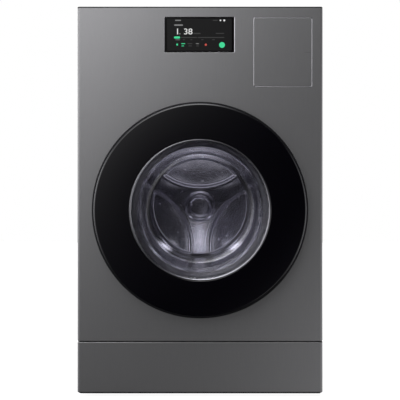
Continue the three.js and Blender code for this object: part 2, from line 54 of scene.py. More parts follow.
# ---------------- places taken from the frame
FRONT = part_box("front_panel")[0].y
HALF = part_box("front_panel")[1].x
PANEL = (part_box("front_panel")[0].z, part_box("front_panel")[1].z)
PLINTH = (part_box("drawer_front")[0].z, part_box("drawer_front")[1].z)
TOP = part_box("top_panel")[1].z
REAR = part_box("rear_panel")[1].y
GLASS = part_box("door_cover_glass")
AXIS_Z = (GLASS[0].z + GLASS[1].z) / 2
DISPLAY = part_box("display_glass")
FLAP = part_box("filter_door")


def at(depth):
    """The Y of a plane that many millimetres behind the cabinet's front face."""
    return FRONT + depth * MM


# ---------------- mesh helpers
def placed(name, data):
    """An object that holds some data and stands in the scene."""
    obj = bpy.data.objects.new(name, data)
    bpy.context.scene.collection.objects.link(obj)
    return obj


def shown_mesh(obj):
    """The mesh that an object shows, modifiers and curves included."""
    bpy.context.view_layer.update()
    return bpy.data.meshes.new_from_object(obj.evaluated_get(bpy.context.evaluated_depsgraph_get()))


def piece(name, verts, faces, sharp=35):
    """A mesh object with smooth faces and sharp edges where two faces meet at more than sharp degrees."""
    mesh = bpy.data.meshes.new(name)
    mesh.from_pydata([tuple(v) for v in verts], [], faces)
    obj = placed(name, mesh)
    shade(obj, sharp)
    return obj


def shade(obj, sharp=35, merge=1e-6):
    """Joins doubled points and shades smooth, except at edges that turn by more than sharp degrees."""
    shaped = bmesh.new()
    shaped.from_mesh(obj.data)
    bmesh.ops.remove_doubles(shaped, verts=shaped.verts, dist=merge)
    bmesh.ops.recalc_face_normals(shaped, faces=shaped.faces)
    for face in shaped.faces:
        face.smooth = True
    for edge in shaped.edges:
        edge.smooth = len(edge.link_faces) == 2 and edge.calc_face_angle(0) < math.radians(sharp)
    shaped.to_mesh(obj.data)
    shaped.free()


def settle(obj):
    """Turns an object's modifiers into its mesh."""
    mesh = shown_mesh(obj)
    obj.modifiers.clear()
    obj.data = mesh
    return obj


def soften(obj, width=0.6, segments=2, angle=40):
    """Rounds an object's edges, in millimetres, and keeps its flat faces flat."""
    round_off = obj.modifiers.new("round_off", "BEVEL")
    round_off.width = width * MM
    round_off.segments = segments
    round_off.limit_method = "ANGLE"
    round_off.angle_limit = math.radians(angle)
    flat = obj.modifiers.new("flat", "WEIGHTED_NORMAL")
    flat.keep_sharp = True
    return obj


def cut(obj, *cutters):
    """Takes the cutters out of an object and removes them."""
    for cutter in cutters:
        step = obj.modifiers.new("cut", "BOOLEAN")
        step.operation = "DIFFERENCE"
        step.solver = "EXACT"
        step.object = cutter
    settle(obj)
    for cutter in cutters:
        bpy.data.objects.remove(cutter)
    shade(obj)
    return obj


def merged(name, parts):
    """One object from several."""
    gathered = bmesh.new()
    for part in parts:
        settle(part)
        gathered.from_mesh(part.data)
        bpy.data.objects.remove(part)
    mesh = bpy.data.meshes.new(name)
    gathered.to_mesh(mesh)
    gathered.free()
    return placed(name, mesh)


def bands(rows, wide, first=0, around=False):
    """Faces that join rows of points, each to the next. around closes every row into a ring."""
    faces = []
    for here in range(first, first + (rows - 1) * wide, wide):
        for i in range(wide if around else wide - 1):
            j = (i + 1) % wide
            faces.append((here + i, here + j, here + wide + j, here + wide + i))
    return faces


def turned(name, profile, segments=128, x=0.0, z=None, closed=True, upright=False, y=0.0, sharp=35):
    """A profile of (radius, depth) turned about a line along Y, or of (radius, height), upright."""
    verts, faces = [], []
    z = AXIS_Z if z is None else z
    count = len(profile)
    for step in range(segments):
        a = 2 * math.pi * step / segments
        for radius, along in profile:
            across, up = radius * MM * math.cos(a), radius * MM * math.sin(a)
            verts.append((x + across, y + up, along * MM) if upright else (x + across, at(along), z + up))
    spans = count if closed else count - 1
    for step in range(segments):
        here, there = step * count, (step + 1) % segments * count
        for i in range(spans):
            j = (i + 1) % count
            faces.append((here + i, there + i, there + j, here + j))
    return piece(name, verts, faces, sharp)


def stood(name, profile, segments, x, depth, sharp=35):
    """A profile of (radius, height) turned about an upright line."""
    return turned(name, profile, segments, x, y=at(depth), upright=True, closed=False, sharp=sharp)


def round_point(degrees, radius=1.0, x=0.0, z=0.0):
    """The point at an angle and a radius round a centre."""
    a = math.radians(degrees)
    return x + radius * math.cos(a), z + radius * math.sin(a)


def rounded(x0, x1, z0, z1, radius, steps=6):
    """The outline of a rectangle with round corners, in metres."""
    corners = [(x1 - radius, z0 + radius, -90), (x1 - radius, z1 - radius, 0),
               (x0 + radius, z1 - radius, 90), (x0 + radius, z0 + radius, 180)]
    return [round_point(start + 90 * i / steps, radius, cx, cz)
            for cx, cz, start in corners for i in range(steps + 1)]


def prism(name, outline, y0, y1, flat=False):
    """An outline in X and Z between two depths (in metres), or in X and Y between two heights."""
    count = len(outline)
    near = [(a, b, y0) if flat else (a, y0, b) for a, b in outline]
    far = [(a, b, y1) if flat else (a, y1, b) for a, b in outline]
    faces = [tuple(range(count)), tuple(range(2 * count - 1, count - 1, -1))]
    faces += [(i, i + count, (i + 1) % count + count, (i + 1) % count) for i in range(count)]
    return piece(name, near + far, faces)


def block(name, low, high, radius=0.6, segments=2):
    """A box with rounded edges, between two corners in metres."""
    (x0, y0, z0), (x1, y1, z1) = low, high
    obj = prism(name, [(x0, z0), (x1, z0), (x1, z1), (x0, z1)], y0, y1)
    return soften(obj, radius, segments)


def tube(name, points, radius, sides=12):
    """A round bar along points in metres."""
    curve = bpy.data.curves.new(name, "CURVE")
    curve.dimensions = "3D"
    curve.bevel_depth = radius * MM
    curve.bevel_resolution = sides // 4
    curve.use_fill_caps = True
    spline = curve.splines.new("POLY")
    spline.points.add(len(points) - 1)
    for point, place in zip(spline.points, points):
        point.co = (*place, 1)
    drawn = placed(name, curve)
    bar = placed(name, shown_mesh(drawn))
    bpy.data.objects.remove(drawn)
    shade(bar)
    return bar


def smooth_path(points, steps):
    """Points along a smooth curve through a few given ones."""
    path = []
    ends = [points[0]] + list(points) + [points[-1]]
    for i in range(len(points) - 1):
        a, b, c, d = (Vector(p) for p in ends[i:i + 4])
        for k in range(steps):
            t = k / steps
            path.append(0.5 * (2 * b + (c - a) * t + (2 * a - 5 * b + 4 * c - d) * t * t
                               + (3 * b - a - 3 * c + d) * t ** 3))
    return path + [Vector(points[-1])]


def smooth(edge0, edge1, value):
    """0 before the first edge, 1 past the second, and an S curve between them."""
    t = max(0.0, min(1.0, (value - edge0) / (edge1 - edge0)))
    return t * t * (3 - 2 * t)


def pad(u, v, u0, u1, v0, v1, radius, rise, slope=9.0):
    """A pressed field's height at (u, v): a rectangle with round corners, raised over a soft slope."""
    across = abs(u - (u0 + u1) / 2) - (u1 - u0) / 2 + radius
    along = abs(v - (v0 + v1) / 2) - (v1 - v0) / 2 + radius
    outside = math.hypot(max(across, 0), max(along, 0)) + min(max(across, along), 0) - radius
    return rise * smooth(0, -slope, outside)


def pressed_sheet(name, u_span, v_span, relief, place, thickness=1.2, step=7.0):
    """A sheet over a grid in millimetres. relief(u, v) is its height, place(u, v, w) a point's place."""
    columns = max(2, round((u_span[1] - u_span[0]) / step))
    rows = max(2, round((v_span[1] - v_span[0]) / step))
    us = [u_span[0] + (u_span[1] - u_span[0]) * i / columns for i in range(columns + 1)]
    vs = [v_span[0] + (v_span[1] - v_span[0]) * j / rows for j in range(rows + 1)]
    verts = [place(u, v, relief(u, v) - drop) for drop in (0, thickness) for v in vs for u in us]
    wide, layer = columns + 1, (columns + 1) * (rows + 1)
    faces = []
    for j in range(rows):
        for i in range(columns):
            a = j * wide + i
            faces.append((a, a + 1, a + wide + 1, a + wide))
            faces.append((a + layer + wide, a + layer + wide + 1, a + layer + 1, a + layer))
    rim = [i for i in range(wide)] + [j * wide + columns for j in range(1, rows + 1)]
    rim += [rows * wide + i for i in range(columns - 1, -1, -1)] + [j * wide for j in range(rows - 1, 0, -1)]
    faces += [(b, a, a + layer, b + layer) for a, b in zip(rim, rim[1:] + rim[:1])]
    return piece(name, verts, faces)


def bolts(name, places, radius=4.0, way=1):
    """Flanged hexagon heads on a plane across Y. places are (x, z, depth) with x and z in metres."""
    heads = []
    for x, z, depth in places:
        flange = [(0, depth), (radius * 1.6, depth), (radius * 1.5, depth + 0.7 * way), (radius, depth + way),
                  (0, depth + way)]
        head = [(0, depth), (radius, depth), (radius, depth + 2.8 * way), (radius * 0.84, depth + 3.3 * way),
                (radius * 0.5, depth + 2.9 * way), (0, depth + 2.9 * way)]
        heads.append(turned("head", flange, 24, x, z, closed=False))
        heads.append(turned("head", head, 6, x, z, closed=False, sharp=20))
    return merged(name, heads)


def thread(radius, start, end, pitch=2.0, depth=0.7):
    """Profile points that run along a screw thread's crests and roots."""
    points = []
    for i in range(int((end - start) / pitch)):
        along = start + i * pitch
        points += [(radius, along), (radius, along + pitch * 0.25), (radius - depth, along + pitch * 0.5),
                   (radius - depth, along + pitch * 0.75)]
    return points + [(radius, end)]


# ---------------- materials
GRAIN_HEIGHT = 0.1


def finish(name, color, roughness, metallic=0.0, grain=60, tint=0.08, wear=0.05, bump=0.05, **sockets):
    """A principled surface whose colour, roughness and height vary with noise of a grain per metre."""
    made = bpy.data.materials.new(name)
    made.use_nodes = True
    nodes, links = made.node_tree.nodes, made.node_tree.links
    shader = nodes["Principled BSDF"]
    place = nodes.new("ShaderNodeTexCoord")
    stretch = nodes.new("ShaderNodeMapping")
    stretch.inputs["Scale"].default_value = grain if isinstance(grain, tuple) else (grain, grain, grain)
    noise = nodes.new("ShaderNodeTexNoise")
    noise.inputs["Scale"].default_value = 1.0
    noise.inputs["Detail"].default_value = 4.0
    colours = nodes.new("ShaderNodeValToRGB")
    for stop, position, change in zip(colours.color_ramp.elements, (0.3, 0.7), (1 - tint, 1 + tint)):
        stop.position = position
        stop.color = (*[min(1, c * change) for c in color], 1)
    polish = nodes.new("ShaderNodeMapRange")
    polish.inputs["To Min"].default_value = max(0.0, roughness - wear)
    polish.inputs["To Max"].default_value = min(1.0, roughness + wear)
    height = nodes.new("ShaderNodeBump")
    height.inputs["Strength"].default_value = bump
    height.inputs["Distance"].default_value = GRAIN_HEIGHT * MM
    seen = noise.outputs["Fac"]
    for output, socket in (
        (place.outputs["Object"], stretch.inputs["Vector"]),
        (stretch.outputs["Vector"], noise.inputs["Vector"]),
        (seen, colours.inputs["Fac"]), (seen, polish.inputs["Value"]), (seen, height.inputs["Height"]),
        (colours.outputs["Color"], shader.inputs["Base Color"]),
        (polish.outputs["Result"], shader.inputs["Roughness"]),
        (height.outputs["Normal"], shader.inputs["Normal"]),
    ):
        links.new(output, socket)
    shader.inputs["Metallic"].default_value = metallic
    for socket, value in sockets.items():
        shader.inputs[socket.replace("_", " ")].default_value = value
    return made


GRAPHITE = finish("graphite", (0.13, 0.13, 0.132), 0.40, 0.85, grain=(900, 900, 30), tint=0.03,
                  wear=0.03, bump=0.03)
DARK_TRIM = finish("dark_trim", (0.03, 0.03, 0.032), 0.45, 0.3, tint=0.1)
BLACK_GLASS = finish("black_glass", (0.0002, 0.0001, 0.0006), 0.03, grain=9, wear=0.008, bump=0.0,
                     Specular_IOR_Level=0.3)
TOP_SHEET = finish("top_sheet", (0.012, 0.012, 0.013), 0.5, 0.2, grain=300, tint=0.1, bump=0.08,
                   Specular_IOR_Level=0.25)
WINDOW_STEEL = finish("window_steel", (0.2, 0.2, 0.215), 0.24, 1.0, grain=300, tint=0.05, bump=0.02)
RIM_BLACK = finish("rim_black", (0.003, 0.003, 0.0035), 0.45, grain=40, wear=0.04, bump=0.02,
                   Specular_IOR_Level=0.05)
DARK_CHROME = finish("dark_chrome", (0.06, 0.06, 0.065), 0.22, 1.0, grain=300, tint=0.04, bump=0.02)
# A lighter metal than the panel's paint: its extra brightness is a painted highlight of the bevelled edges
# round the flap and the screen, on top of the metal's real reflection.
HIGHLIGHT_TRIM = finish("trim_painted_highlight", (0.45, 0.45, 0.47), 0.2, 1.0, grain=300, tint=0.04, bump=0.02)
CLEAR_GLASS = finish("clear_glass", (0.72, 0.72, 0.77), 0.015, grain=30, tint=0.01, wear=0.01, bump=0.0,
                     Transmission_Weight=1.0, IOR=1.35)
RUBBER = finish("gasket_rubber", (0.09, 0.09, 0.095), 0.55, grain=500, tint=0.15, wear=0.1, bump=0.2)
FOOT_RUBBER = finish("foot_rubber", (0.03, 0.03, 0.03), 0.75, grain=500, tint=0.2, bump=0.3)
DRUM_STEEL = finish("drum_steel", (0.34, 0.335, 0.38), 0.25, 1.0, grain=(40, 900, 40), tint=0.05, wear=0.06)
ZINC = finish("zinc_sheet", (0.27, 0.275, 0.28), 0.42, 0.85, grain=70, tint=0.12, wear=0.12)
BOLT_STEEL = finish("bolt_steel", (0.5, 0.5, 0.5), 0.3, 1.0, grain=600, tint=0.1)
CAST_ALUMINIUM = finish("cast_aluminium", (0.42, 0.43, 0.44), 0.5, 0.9, grain=300, tint=0.12, bump=0.3)
IRON = finish("black_iron", (0.035, 0.036, 0.04), 0.7, 0.3, grain=250, tint=0.2, bump=0.4)
COPPER = finish("copper_winding", (0.55, 0.22, 0.1), 0.35, 1.0, grain=(900, 20, 900), tint=0.2, bump=0.3)
TUB_PLASTIC = finish("tub_plastic", (0.27, 0.275, 0.28), 0.55, grain=200, tint=0.1, bump=0.15)
GREY_PLASTIC = finish("grey_plastic", (0.11, 0.112, 0.118), 0.5, grain=700, bump=0.15)
LIGHT_PLASTIC = finish("light_plastic", (0.26, 0.265, 0.265), 0.45, grain=500, tint=0.03, bump=0.1)
BLUE_PLASTIC = finish("blue_plastic", (0.06, 0.19, 0.38), 0.4, grain=500, bump=0.1)
RED_PLASTIC = finish("red_plastic", (0.45, 0.04, 0.03), 0.4, grain=500, bump=0.1)
BLACK_PLASTIC = finish("black_plastic", (0.02, 0.02, 0.021), 0.42, grain=700, tint=0.15, bump=0.15)
# Painted shade: the black that the drum's holes show, laid on as discs instead of cut holes.
HOLE_SHADE = finish("hole_painted_shade", (0.004, 0.004, 0.005), 0.6, tint=0.2)
SCREEN = finish("screen", (0.0004, 0.0004, 0.0005), 0.09, grain=20, wear=0.01, bump=0.0,
                Specular_IOR_Level=0.1)


def lamp(name, color, strength):
    """A lit mark on the screen."""
    return finish(name, [c * 0.001 for c in color], 0.4, grain=2000, tint=0.05, bump=0.0,
                  Specular_IOR_Level=0.05,
                  Emission_Color=(*color, 1), Emission_Strength=strength)


SCREEN_GREY = lamp("screen_grey", (1.0, 1.0, 1.02), 0.0075)
UI_WHITE = lamp("ui_white", (1.0, 1.0, 1.0), 0.72)
UI_GREY = lamp("ui_grey", (1.0, 1.0, 1.0), 0.2)
UI_DIM = lamp("ui_dim", (1.0, 1.0, 1.0), 0.045)
UI_GREEN = lamp("ui_green", (0.07, 0.8, 0.36), 0.85)
UI_RED = lamp("ui_red", (0.75, 0.12, 0.09), 0.75)


def put(obj, material, body="cabinet", instead_of=(), slot=None):
    """Gives a piece its material and body, and hides the CAD nodes that it stands for."""
    obj.data.materials.clear()
    obj.data.materials.append(material)
    for polygon in obj.data.polygons:
        polygon.material_index = 0
    if instead_of:
        nodes = [instead_of] if isinstance(instead_of, str) else instead_of
        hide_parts(*nodes)
        slots = {s["node"]: s["material_slot"] for s in frame["record"]["subparts"]}
        slot = slot or slots[nodes[0]]
    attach(obj, body)
    return obj


def dress(node, material, width=0.5):
    """Keeps a CAD node and gives it a finish and softly rounded edges."""
    obj = frame["nodes"][node]
    for place in obj.material_slots:
        place.material = material
    if width:
        weld = obj.modifiers.new("weld", "WELD")
        weld.merge_threshold = 1e-5
        soften(obj, width)


# ---------------- painted cabinet
def wrapped_skin(name, z0, z1, thickness=1.2, edge=1.2, hem=6.0, corner=8.0, back=21.8):
    """The sheet that forms the front and wraps round both sides on rounded upright edges."""
    plan = [((HALF, at(back)), (1, 0)), ((HALF, at(corner + 1)), (1, 0))]
    for i in range(13):
        a = math.radians(90 * i / 12)
        plan.append(((HALF - corner * MM * (1 - math.cos(a)), at(corner * (1 - math.sin(a)))),
                     (math.cos(a), -math.sin(a))))
    plan.append(((HALF - (corner + 1) * MM, at(0)), (0, -1)))
    plan += [((-x, y), (-nx, ny)) for (x, y), (nx, ny) in reversed(plan)]
    rise = [(hem, 0)] + [(edge * (1 - math.sin(math.radians(a))), edge * (1 - math.cos(math.radians(a))))
                         for a in (0, 22.5, 45, 67.5, 90)]
    levels = [(inset, z0 + up * MM) for inset, up in rise]
    levels += [(inset, z1 - up * MM) for inset, up in reversed(rise)]
    verts = [(x - nx * inset * MM, y - ny * inset * MM, z) for inset, z in levels
             for (x, y), (nx, ny) in plan]
    skin = piece(name, verts, bands(len(levels), len(plan)))
    bpy.context.view_layer.update()
    middle = max(skin.data.polygons, key=lambda polygon: polygon.area)
    if middle.normal.y > 0:
        skin.data.flip_normals()
    thick = skin.modifiers.new("thick", "SOLIDIFY")
    thick.thickness = thickness * MM
    thick.offset = -1
    return settle(skin)


def framed(box, margin, radius):
    """A box's outline from the front, grown by a margin and with round corners, both in millimetres."""
    grow = margin * MM
    return rounded(box[0].x - grow, box[1].x + grow, box[0].z - grow, box[1].z + grow, radius * MM)


def opening(outline):
    """A cutter through the front panel."""
    return prism("cutter", outline, at(-5), at(12))


FLAP_GAP = 2
DOOR_OPENING = 222
panel = cut(
    wrapped_skin("front_panel_skin", *PANEL),
    turned("cutter", [(0, -5), (DOOR_OPENING, -5), (DOOR_OPENING, 12), (0, 12)], 160),
    opening(framed(DISPLAY, 1.6, 2.1)),
    opening(framed(FLAP, FLAP_GAP, 1.5)),
    opening(rounded(0.227, 0.246, AXIS_Z - 0.017, AXIS_Z + 0.017, 3 * MM)),
)
put(soften(panel, 0.5, 2, 50), GRAPHITE, instead_of="front_panel")
put(soften(wrapped_skin("plinth_skin", *PLINTH), 0.5, 2, 50), GRAPHITE, "drawer", "drawer_front")

top_outline = rounded(-HALF, HALF, FRONT, REAR, 8 * MM, 10)
put(soften(prism("top_sheet", top_outline, TOP - 3 * MM, TOP, flat=True), 0.9, 3), TOP_SHEET,
    instead_of="top_panel")

# Painted shade: a matt black strip in the gap under the drawer front, where the real machine shows only the
# shadow under its plinth.
plinth_shade = block("plinth_painted_shade_line", (-HALF + 8 * MM, at(0.5), 0.01315),
            (HALF - 8 * MM, at(1.9), PLINTH[0] - 0.1 * MM), 0.2)
put(plinth_shade, RIM_BLACK, slot="black_plastic")
# Painted shade: a matt black line along the drawer front's bottom edge, standing in for its shaded hem.
drawer_shade_line = block("drawer_painted_shade_line", (-HALF + 7 * MM, at(-0.05), PLINTH[0] + 0.15 * MM),
                   (HALF - 7 * MM, at(0.5), PLINTH[0] + 2.6 * MM), 0.02, 1)
put(drawer_shade_line, RIM_BLACK, "drawer", slot="black_plastic")

# ---------------- filter flap
flap = prism("flap_skin", framed(FLAP, 0, 3.2), FLAP[0].y, FLAP[1].y)
inside = prism("cutter", framed(FLAP, -2, 2.2), FLAP[0].y + 2 * MM, FLAP[1].y + 5 * MM)
put(soften(cut(flap, inside), 0.7, 3), GRAPHITE, "filter_door", "filter_door")
# Painted highlight: the ring round the flap's opening is a lighter metal that stands in for the light caught
# on the panel's bevelled edge.
bezel = prism("flap_edge_highlight", framed(FLAP, 1.7, 3.6), at(0.1), at(3))
within = prism("cutter", framed(FLAP, 0.35, 3.4), at(-5), at(10))
put(soften(cut(bezel, within), 0.6, 4), HIGHLIGHT_TRIM, "filter_door", slot="graphite_steel")
tick_z = (FLAP[0].z + FLAP[1].z) / 2
tick = block("flap_tick", (FLAP[1].x - 0.019, FLAP[0].y - 0.00005, tick_z - 0.0004),
             (FLAP[1].x - 0.003, FLAP[0].y + 0.001, tick_z + 0.0004), 0.1)
put(tick, DARK_TRIM, "filter_door", slot="black_plastic")

# ---------------- display
pane = prism("display_pane", framed(DISPLAY, 0, 1.2), DISPLAY[0].y, DISPLAY[1].y)
put(soften(pane, 0.5), SCREEN, instead_of="display_glass")
# Painted highlight: the ring round the screen is a lighter metal that stands in for the light caught on the
# opening's bevelled edge.
bezel_out, bezel_in = framed(DISPLAY, 1.7, 2.2), framed(DISPLAY, 0.4, 1.2)
loops = [[(x, at(depth), z) for x, z in line] for line, depth in
         ((bezel_out, 3), (bezel_out, 0.15), (bezel_out, -0.05), (bezel_in, 1.0), (bezel_in, 3))]
span = len(bezel_out)
bezel_faces = bands(5, span, around=True)
bezel_faces += [(4 * span + i, 4 * span + (i + 1) % span, (i + 1) % span, i) for i in range(span)]
put(piece("display_edge_highlight", sum(loops, []), bezel_faces), HIGHLIGHT_TRIM, slot="graphite_steel")


def on_screen(name, x0, x1, down0, down1, material, radius=None, lift=0.12):
    """A flat mark on the screen. Places are millimetres from the pane's top left corner."""
    left, top = DISPLAY[0].x, DISPLAY[1].z
    radius = min(x1 - x0, down1 - down0) / 2 if radius is None else radius
    outline = rounded(left + x0 * MM, left + x1 * MM, top - down1 * MM, top - down0 * MM,
                      radius * MM * 0.999, 5)
    mark = prism(name, outline, DISPLAY[0].y - lift * MM, DISPLAY[0].y + 0.3 * MM)
    return put(mark, material, slot="screen_glass")


on_screen("screen_field", 7, 186.5, 3.2, 92.4, SCREEN_GREY, 1.5, lift=0.04)
for i, (x0, x1, down0, down1, material) in enumerate([
    (29, 45.5, 6.6, 9.8, UI_GREY), (26.4, 51, 19.4, 23.4, UI_GREY), (39.6, 44.5, 44.4, 46.8, UI_GREY),
    (79.5, 100, 43.2, 46.2, UI_DIM), (142, 165.5, 43.4, 45.6, UI_DIM), (134, 147, 7, 9.4, UI_DIM),
    (153, 157.6, 5.9, 10.5, UI_WHITE), (163.2, 168.8, 5.5, 11.1, UI_WHITE), (26, 43, 53, 58.8, UI_GREEN),
    (45, 90, 54.8, 57, UI_DIM), (92, 166, 54.8, 57, UI_DIM), (30, 42.5, 61.6, 63, UI_GREY),
    (51, 56, 61.2, 63, UI_DIM), (72, 77, 61.2, 63, UI_DIM), (102, 108, 61.2, 63, UI_DIM),
    (132, 140, 61.2, 63, UI_DIM), (32.4, 37.2, 72.6, 78.4, UI_GREEN), (46, 57, 72, 74.2, UI_GREEN),
    (47, 54, 78.4, 80.4, UI_GREEN), (63.6, 77, 72, 74.2, UI_DIM), (66, 76, 78.4, 80.4, UI_DIM),
    (87, 95.4, 72, 74.2, UI_GREY), (88, 95, 78.4, 80.4, UI_DIM), (111.6, 117.6, 73, 79, UI_RED),
    (151.6, 167.8, 68.6, 84.8, UI_GREEN),
]):
    on_screen(f"screen_mark_{i:02d}", x0, x1, down0, down1, material)


def digits(name, text, x, down, height, bold=0.12, stretch=1.1):
    """Figures on the screen, from the top left corner of the first."""
    curve = bpy.data.curves.new(name, "FONT")
    curve.body = text
    curve.size = height * MM / 0.7
    curve.offset = bold * MM
    curve.extrude = 0.05 * MM
    written = placed(name, curve)
    mesh = shown_mesh(written)
    bpy.data.objects.remove(written)
    for vertex in mesh.vertices:
        across, up, out = vertex.co
        vertex.co = (DISPLAY[0].x + x * MM + across * stretch, DISPLAY[0].y - 0.1 * MM - out,
                     DISPLAY[1].z - (down + height) * MM + up)
    return put(placed(name, mesh), UI_WHITE, slot="screen_glass")


digits("screen_hours", "1", 29.5, 30.8, 16.2)
digits("screen_minutes", "38", 52.6, 30.8, 16.2)

# ---------------- door
rim_profile = [(285.9, -42.1), (287.6, -42.1), (288.9, -41.9), (290.4, -41.2), (291.4, -40.2),
               (291.8, -38.9), (291.8, -17), (291.2, -14.5), (289.6, -11.5), (287, -8.6), (283.5, -5.8),
               (281, -4.8), (276.5, -4.5), (276.5, -8.3), (280.5, -8.8), (285, -12), (287.5, -18),
               (287.5, -38.8), (285.9, -39.6)]
HINGE_POCKET = ((-0.300, at(-37), AXIS_Z - 0.068), (-0.240, at(3), AXIS_Z + 0.068))
GRIP_POCKET = ((0.258, at(-26), AXIS_Z - 0.060), (0.300, at(3), AXIS_Z + 0.060))
rim = cut(turned("door_rim_ring", rim_profile, 224), block("cutter", *HINGE_POCKET, 3),
          block("cutter", *GRIP_POCKET, 8, 6))
put(rim, RIM_BLACK, "door", "door_rim")

outer_trim = [(284.1, -46), (284.5, -46.05), (285.1, -45.6), (286, -43.9), (286, -42.2), (284.1, -42.2)]
put(turned("door_outer_trim", outer_trim, 224), DARK_CHROME, "door", slot="stainless")
black_glass = [(189.8, -47.2), (190.6, -47.95), (192, -48), (280.8, -48), (281.4, -47.98), (282.9, -47.5),
               (284, -46.2), (284, -40.4), (189.8, -40.4)]
put(turned("door_black_glass", black_glass, 224), BLACK_GLASS, "door", "door_cover_glass")
window_ring = [(184.4, -43.6), (184.8, -46), (185.9, -47.4), (187.6, -48), (189.1, -47.6), (189.7, -46.4),
               (189.7, -40.6), (185.4, -40.6)]
put(turned("door_window_ring", window_ring, 224), WINDOW_STEEL, "door", slot="stainless")
seat = [(185.1, -43.4), (189.6, -40.3), (199.6, -40.3), (199.6, -37), (186.9, -34)]
put(turned("door_window_seat", seat, 160), BLACK_PLASTIC, "door", slot="black_plastic")


def bowl_profile():
    outer = [(0, 98), (40, 97.8), (80, 96.9), (110, 95.4), (134, 93.4), (150, 91.4), (159, 88.8),
             (165.4, 84.4), (169.4, 78.6), (171.6, 71), (172.6, 61), (173.2, 48), (174.4, 32), (176.6, 14),
             (179.6, -1), (183.2, -13), (186, -20), (189.5, -27), (194, -30), (199.4, -31)]
    inner = [(199.4, -35.8), (193, -35.2), (187, -32), (182, -25), (178.4, -14), (174.8, -2), (171.8, 14),
             (169.9, 32), (169, 48), (168.5, 60), (167.4, 69.4), (165.4, 76), (162, 81), (156.6, 84.4),
             (148.6, 86.8), (133.4, 89), (109.8, 91.2), (79.8, 92.6), (40, 93.4), (0, 93.6)]
    return outer + inner


put(turned("glass_bowl", bowl_profile(), 160, sharp=60), CLEAR_GLASS, "door", "door_bowl")

back_ring = [(200, -40), (203, -40), (203, -12), (205, -9.8), (208, -9.5), (268, -9.5), (271, -10.5),
             (272.8, -13), (272.8, -40), (275.8, -40), (275.8, -10), (274.5, -7), (271, -5.5), (262, -5.5),
             (260, -6.6), (250, -6.6), (248, -5.5), (214, -5.5), (212, -6.6), (206, -6.6), (203.5, -5.8),
             (200.6, -6.2), (200, -7.4)]
inner_frame = cut(turned("door_back_ring", back_ring, 160), block("cutter", *HINGE_POCKET, 2),
                  block("cutter", *GRIP_POCKET, 8, 6))
put(inner_frame, GREY_PLASTIC, "door", "door_inner_frame")
for name in ("door_hook", "door_hinge_arm"):
    dress(name, BOLT_STEEL, 0.4)

# ---------------- gasket
fold = [(219.5, 3), (216, 3.4), (213, 5), (206, 6.6), (198, 8), (190, 9.6), (184.5, 11.2), (182.4, 13),
        (182.8, 15.4), (185, 16.8), (190, 16), (196, 14.6), (200.5, 15), (204.5, 17.5), (206.6, 21),
        (207.2, 26), (207, 34), (206.4, 41), (204, 45.5), (199, 48.4), (194.5, 50.5), (192, 54),
        (191.6, 58), (193, 62), (198, 65), (205, 66.8), (210, 70), (214.5, 76), (217, 82), (217.9, 88),
        (217.9, 108)]
gasket = turned("gasket_bellows", fold, 160, closed=False)
thick = gasket.modifiers.new("thick", "SOLIDIFY")
thick.thickness = 3 * MM
thick.offset = 1
put(settle(gasket), RUBBER, "cabinet", "door_gasket")
shade(gasket, 60)

# ---------------- drum
LIFTER_ANGLES = (30, 150, 270)
WALL_RADIUS = 276.55
LOBE_CENTRE, LOBE_RADIUS, LOBE_DEPTH = 336, 258, 9
BACK = 641.8


def back_height(x, z):
    """How far the drum's back stands forward of its rim, in millimetres, at a place round its centre."""
    radius = math.hypot(x, z)
    steps = math.cos(2 * math.pi * (radius - 246) / 8) * smooth(246, 249, radius) * smooth(264, 261, radius)
    plateau = 4 * smooth(216, 210, radius) + 0.5 * steps
    dish = 0.0
    bead = 0.0
    nearest = -1000.0
    for angle in (90, 210, 330):
        cx, cz = round_point(angle, LOBE_CENTRE)
        inside = LOBE_RADIUS - math.hypot(x - cx, z - cz)
        nearest = max(nearest, inside)
        dish = max(dish, smooth(0, 16, inside) * (1 + 0.5 * smooth(16, 110, inside)))
        bead = max(bead, math.exp(-((inside + 2) / 3.8) ** 2))
    crown = 5 * smooth(150, 40, radius)
    hub = 6 * smooth(66, 54, radius)
    arm = 1.5 * (1 - (1 - min(1.0, max(0.0, -nearest) / 50)) ** 2)
    return plateau + smooth(212, 203, radius) * (2.4 * bead - LOBE_DEPTH * dish + arm) + crown + hub


def drum_back():
    rings = [3 + 3.2 * i for i in range(65)] + [210 + 1.6 * i for i in range(34)] + [266, 271, 276]
    around = 300
    verts = [(0, at(BACK - back_height(0, 0)), AXIS_Z)]
    for radius in rings:
        for step in range(around):
            a = 2 * math.pi * step / around
            x, z = radius * math.cos(a), radius * math.sin(a)
            curl = 15.5 * smooth(262, 276, radius)
            verts.append((x * MM, at(BACK - back_height(x, z) - curl), AXIS_Z + z * MM))
    faces = [(0, 1 + (s + 1) % around, 1 + s) for s in range(around)]
    faces += bands(len(rings), around, 1, around=True)
    return piece("drum_back_pressing", verts, faces, 60)


put(drum_back(), DRUM_STEEL, "drum", slot="stainless")
hub_cap = [(0, 624), (32, 624), (36, 622.8), (39, 619.6), (42.6, 617.6), (46.6, 618.4), (49.6, 621.4),
           (51, 626), (51, 629.6), (0, 629.6)]
put(turned("drum_hub_cap", hub_cap, 96, closed=False), DRUM_STEEL, "drum", slot="stainless")
ribs = [(276.8 - rise, depth + along) for depth in range(600, 180, -60)
        for along, rise in ((5, 0), (2.5, 1.1), (0, 1.5), (-2.5, 1.1), (-5, 0))]
shell_profile = [(276.8, 627), *ribs, (276.8, 159), (261.6, 147.2), (214, 136.8), (208.2, 134),
                 (205.4, 131.6), (206.4, 129.4),
                 (208.8, 129.6), (213, 133.6), (262, 144.4), (278, 156.6), (278, 627), (270, 636), (262, 640)]
put(turned("drum_barrel", shell_profile, 180, sharp=50, closed=False), DRUM_STEEL, "drum", "drum_shell")


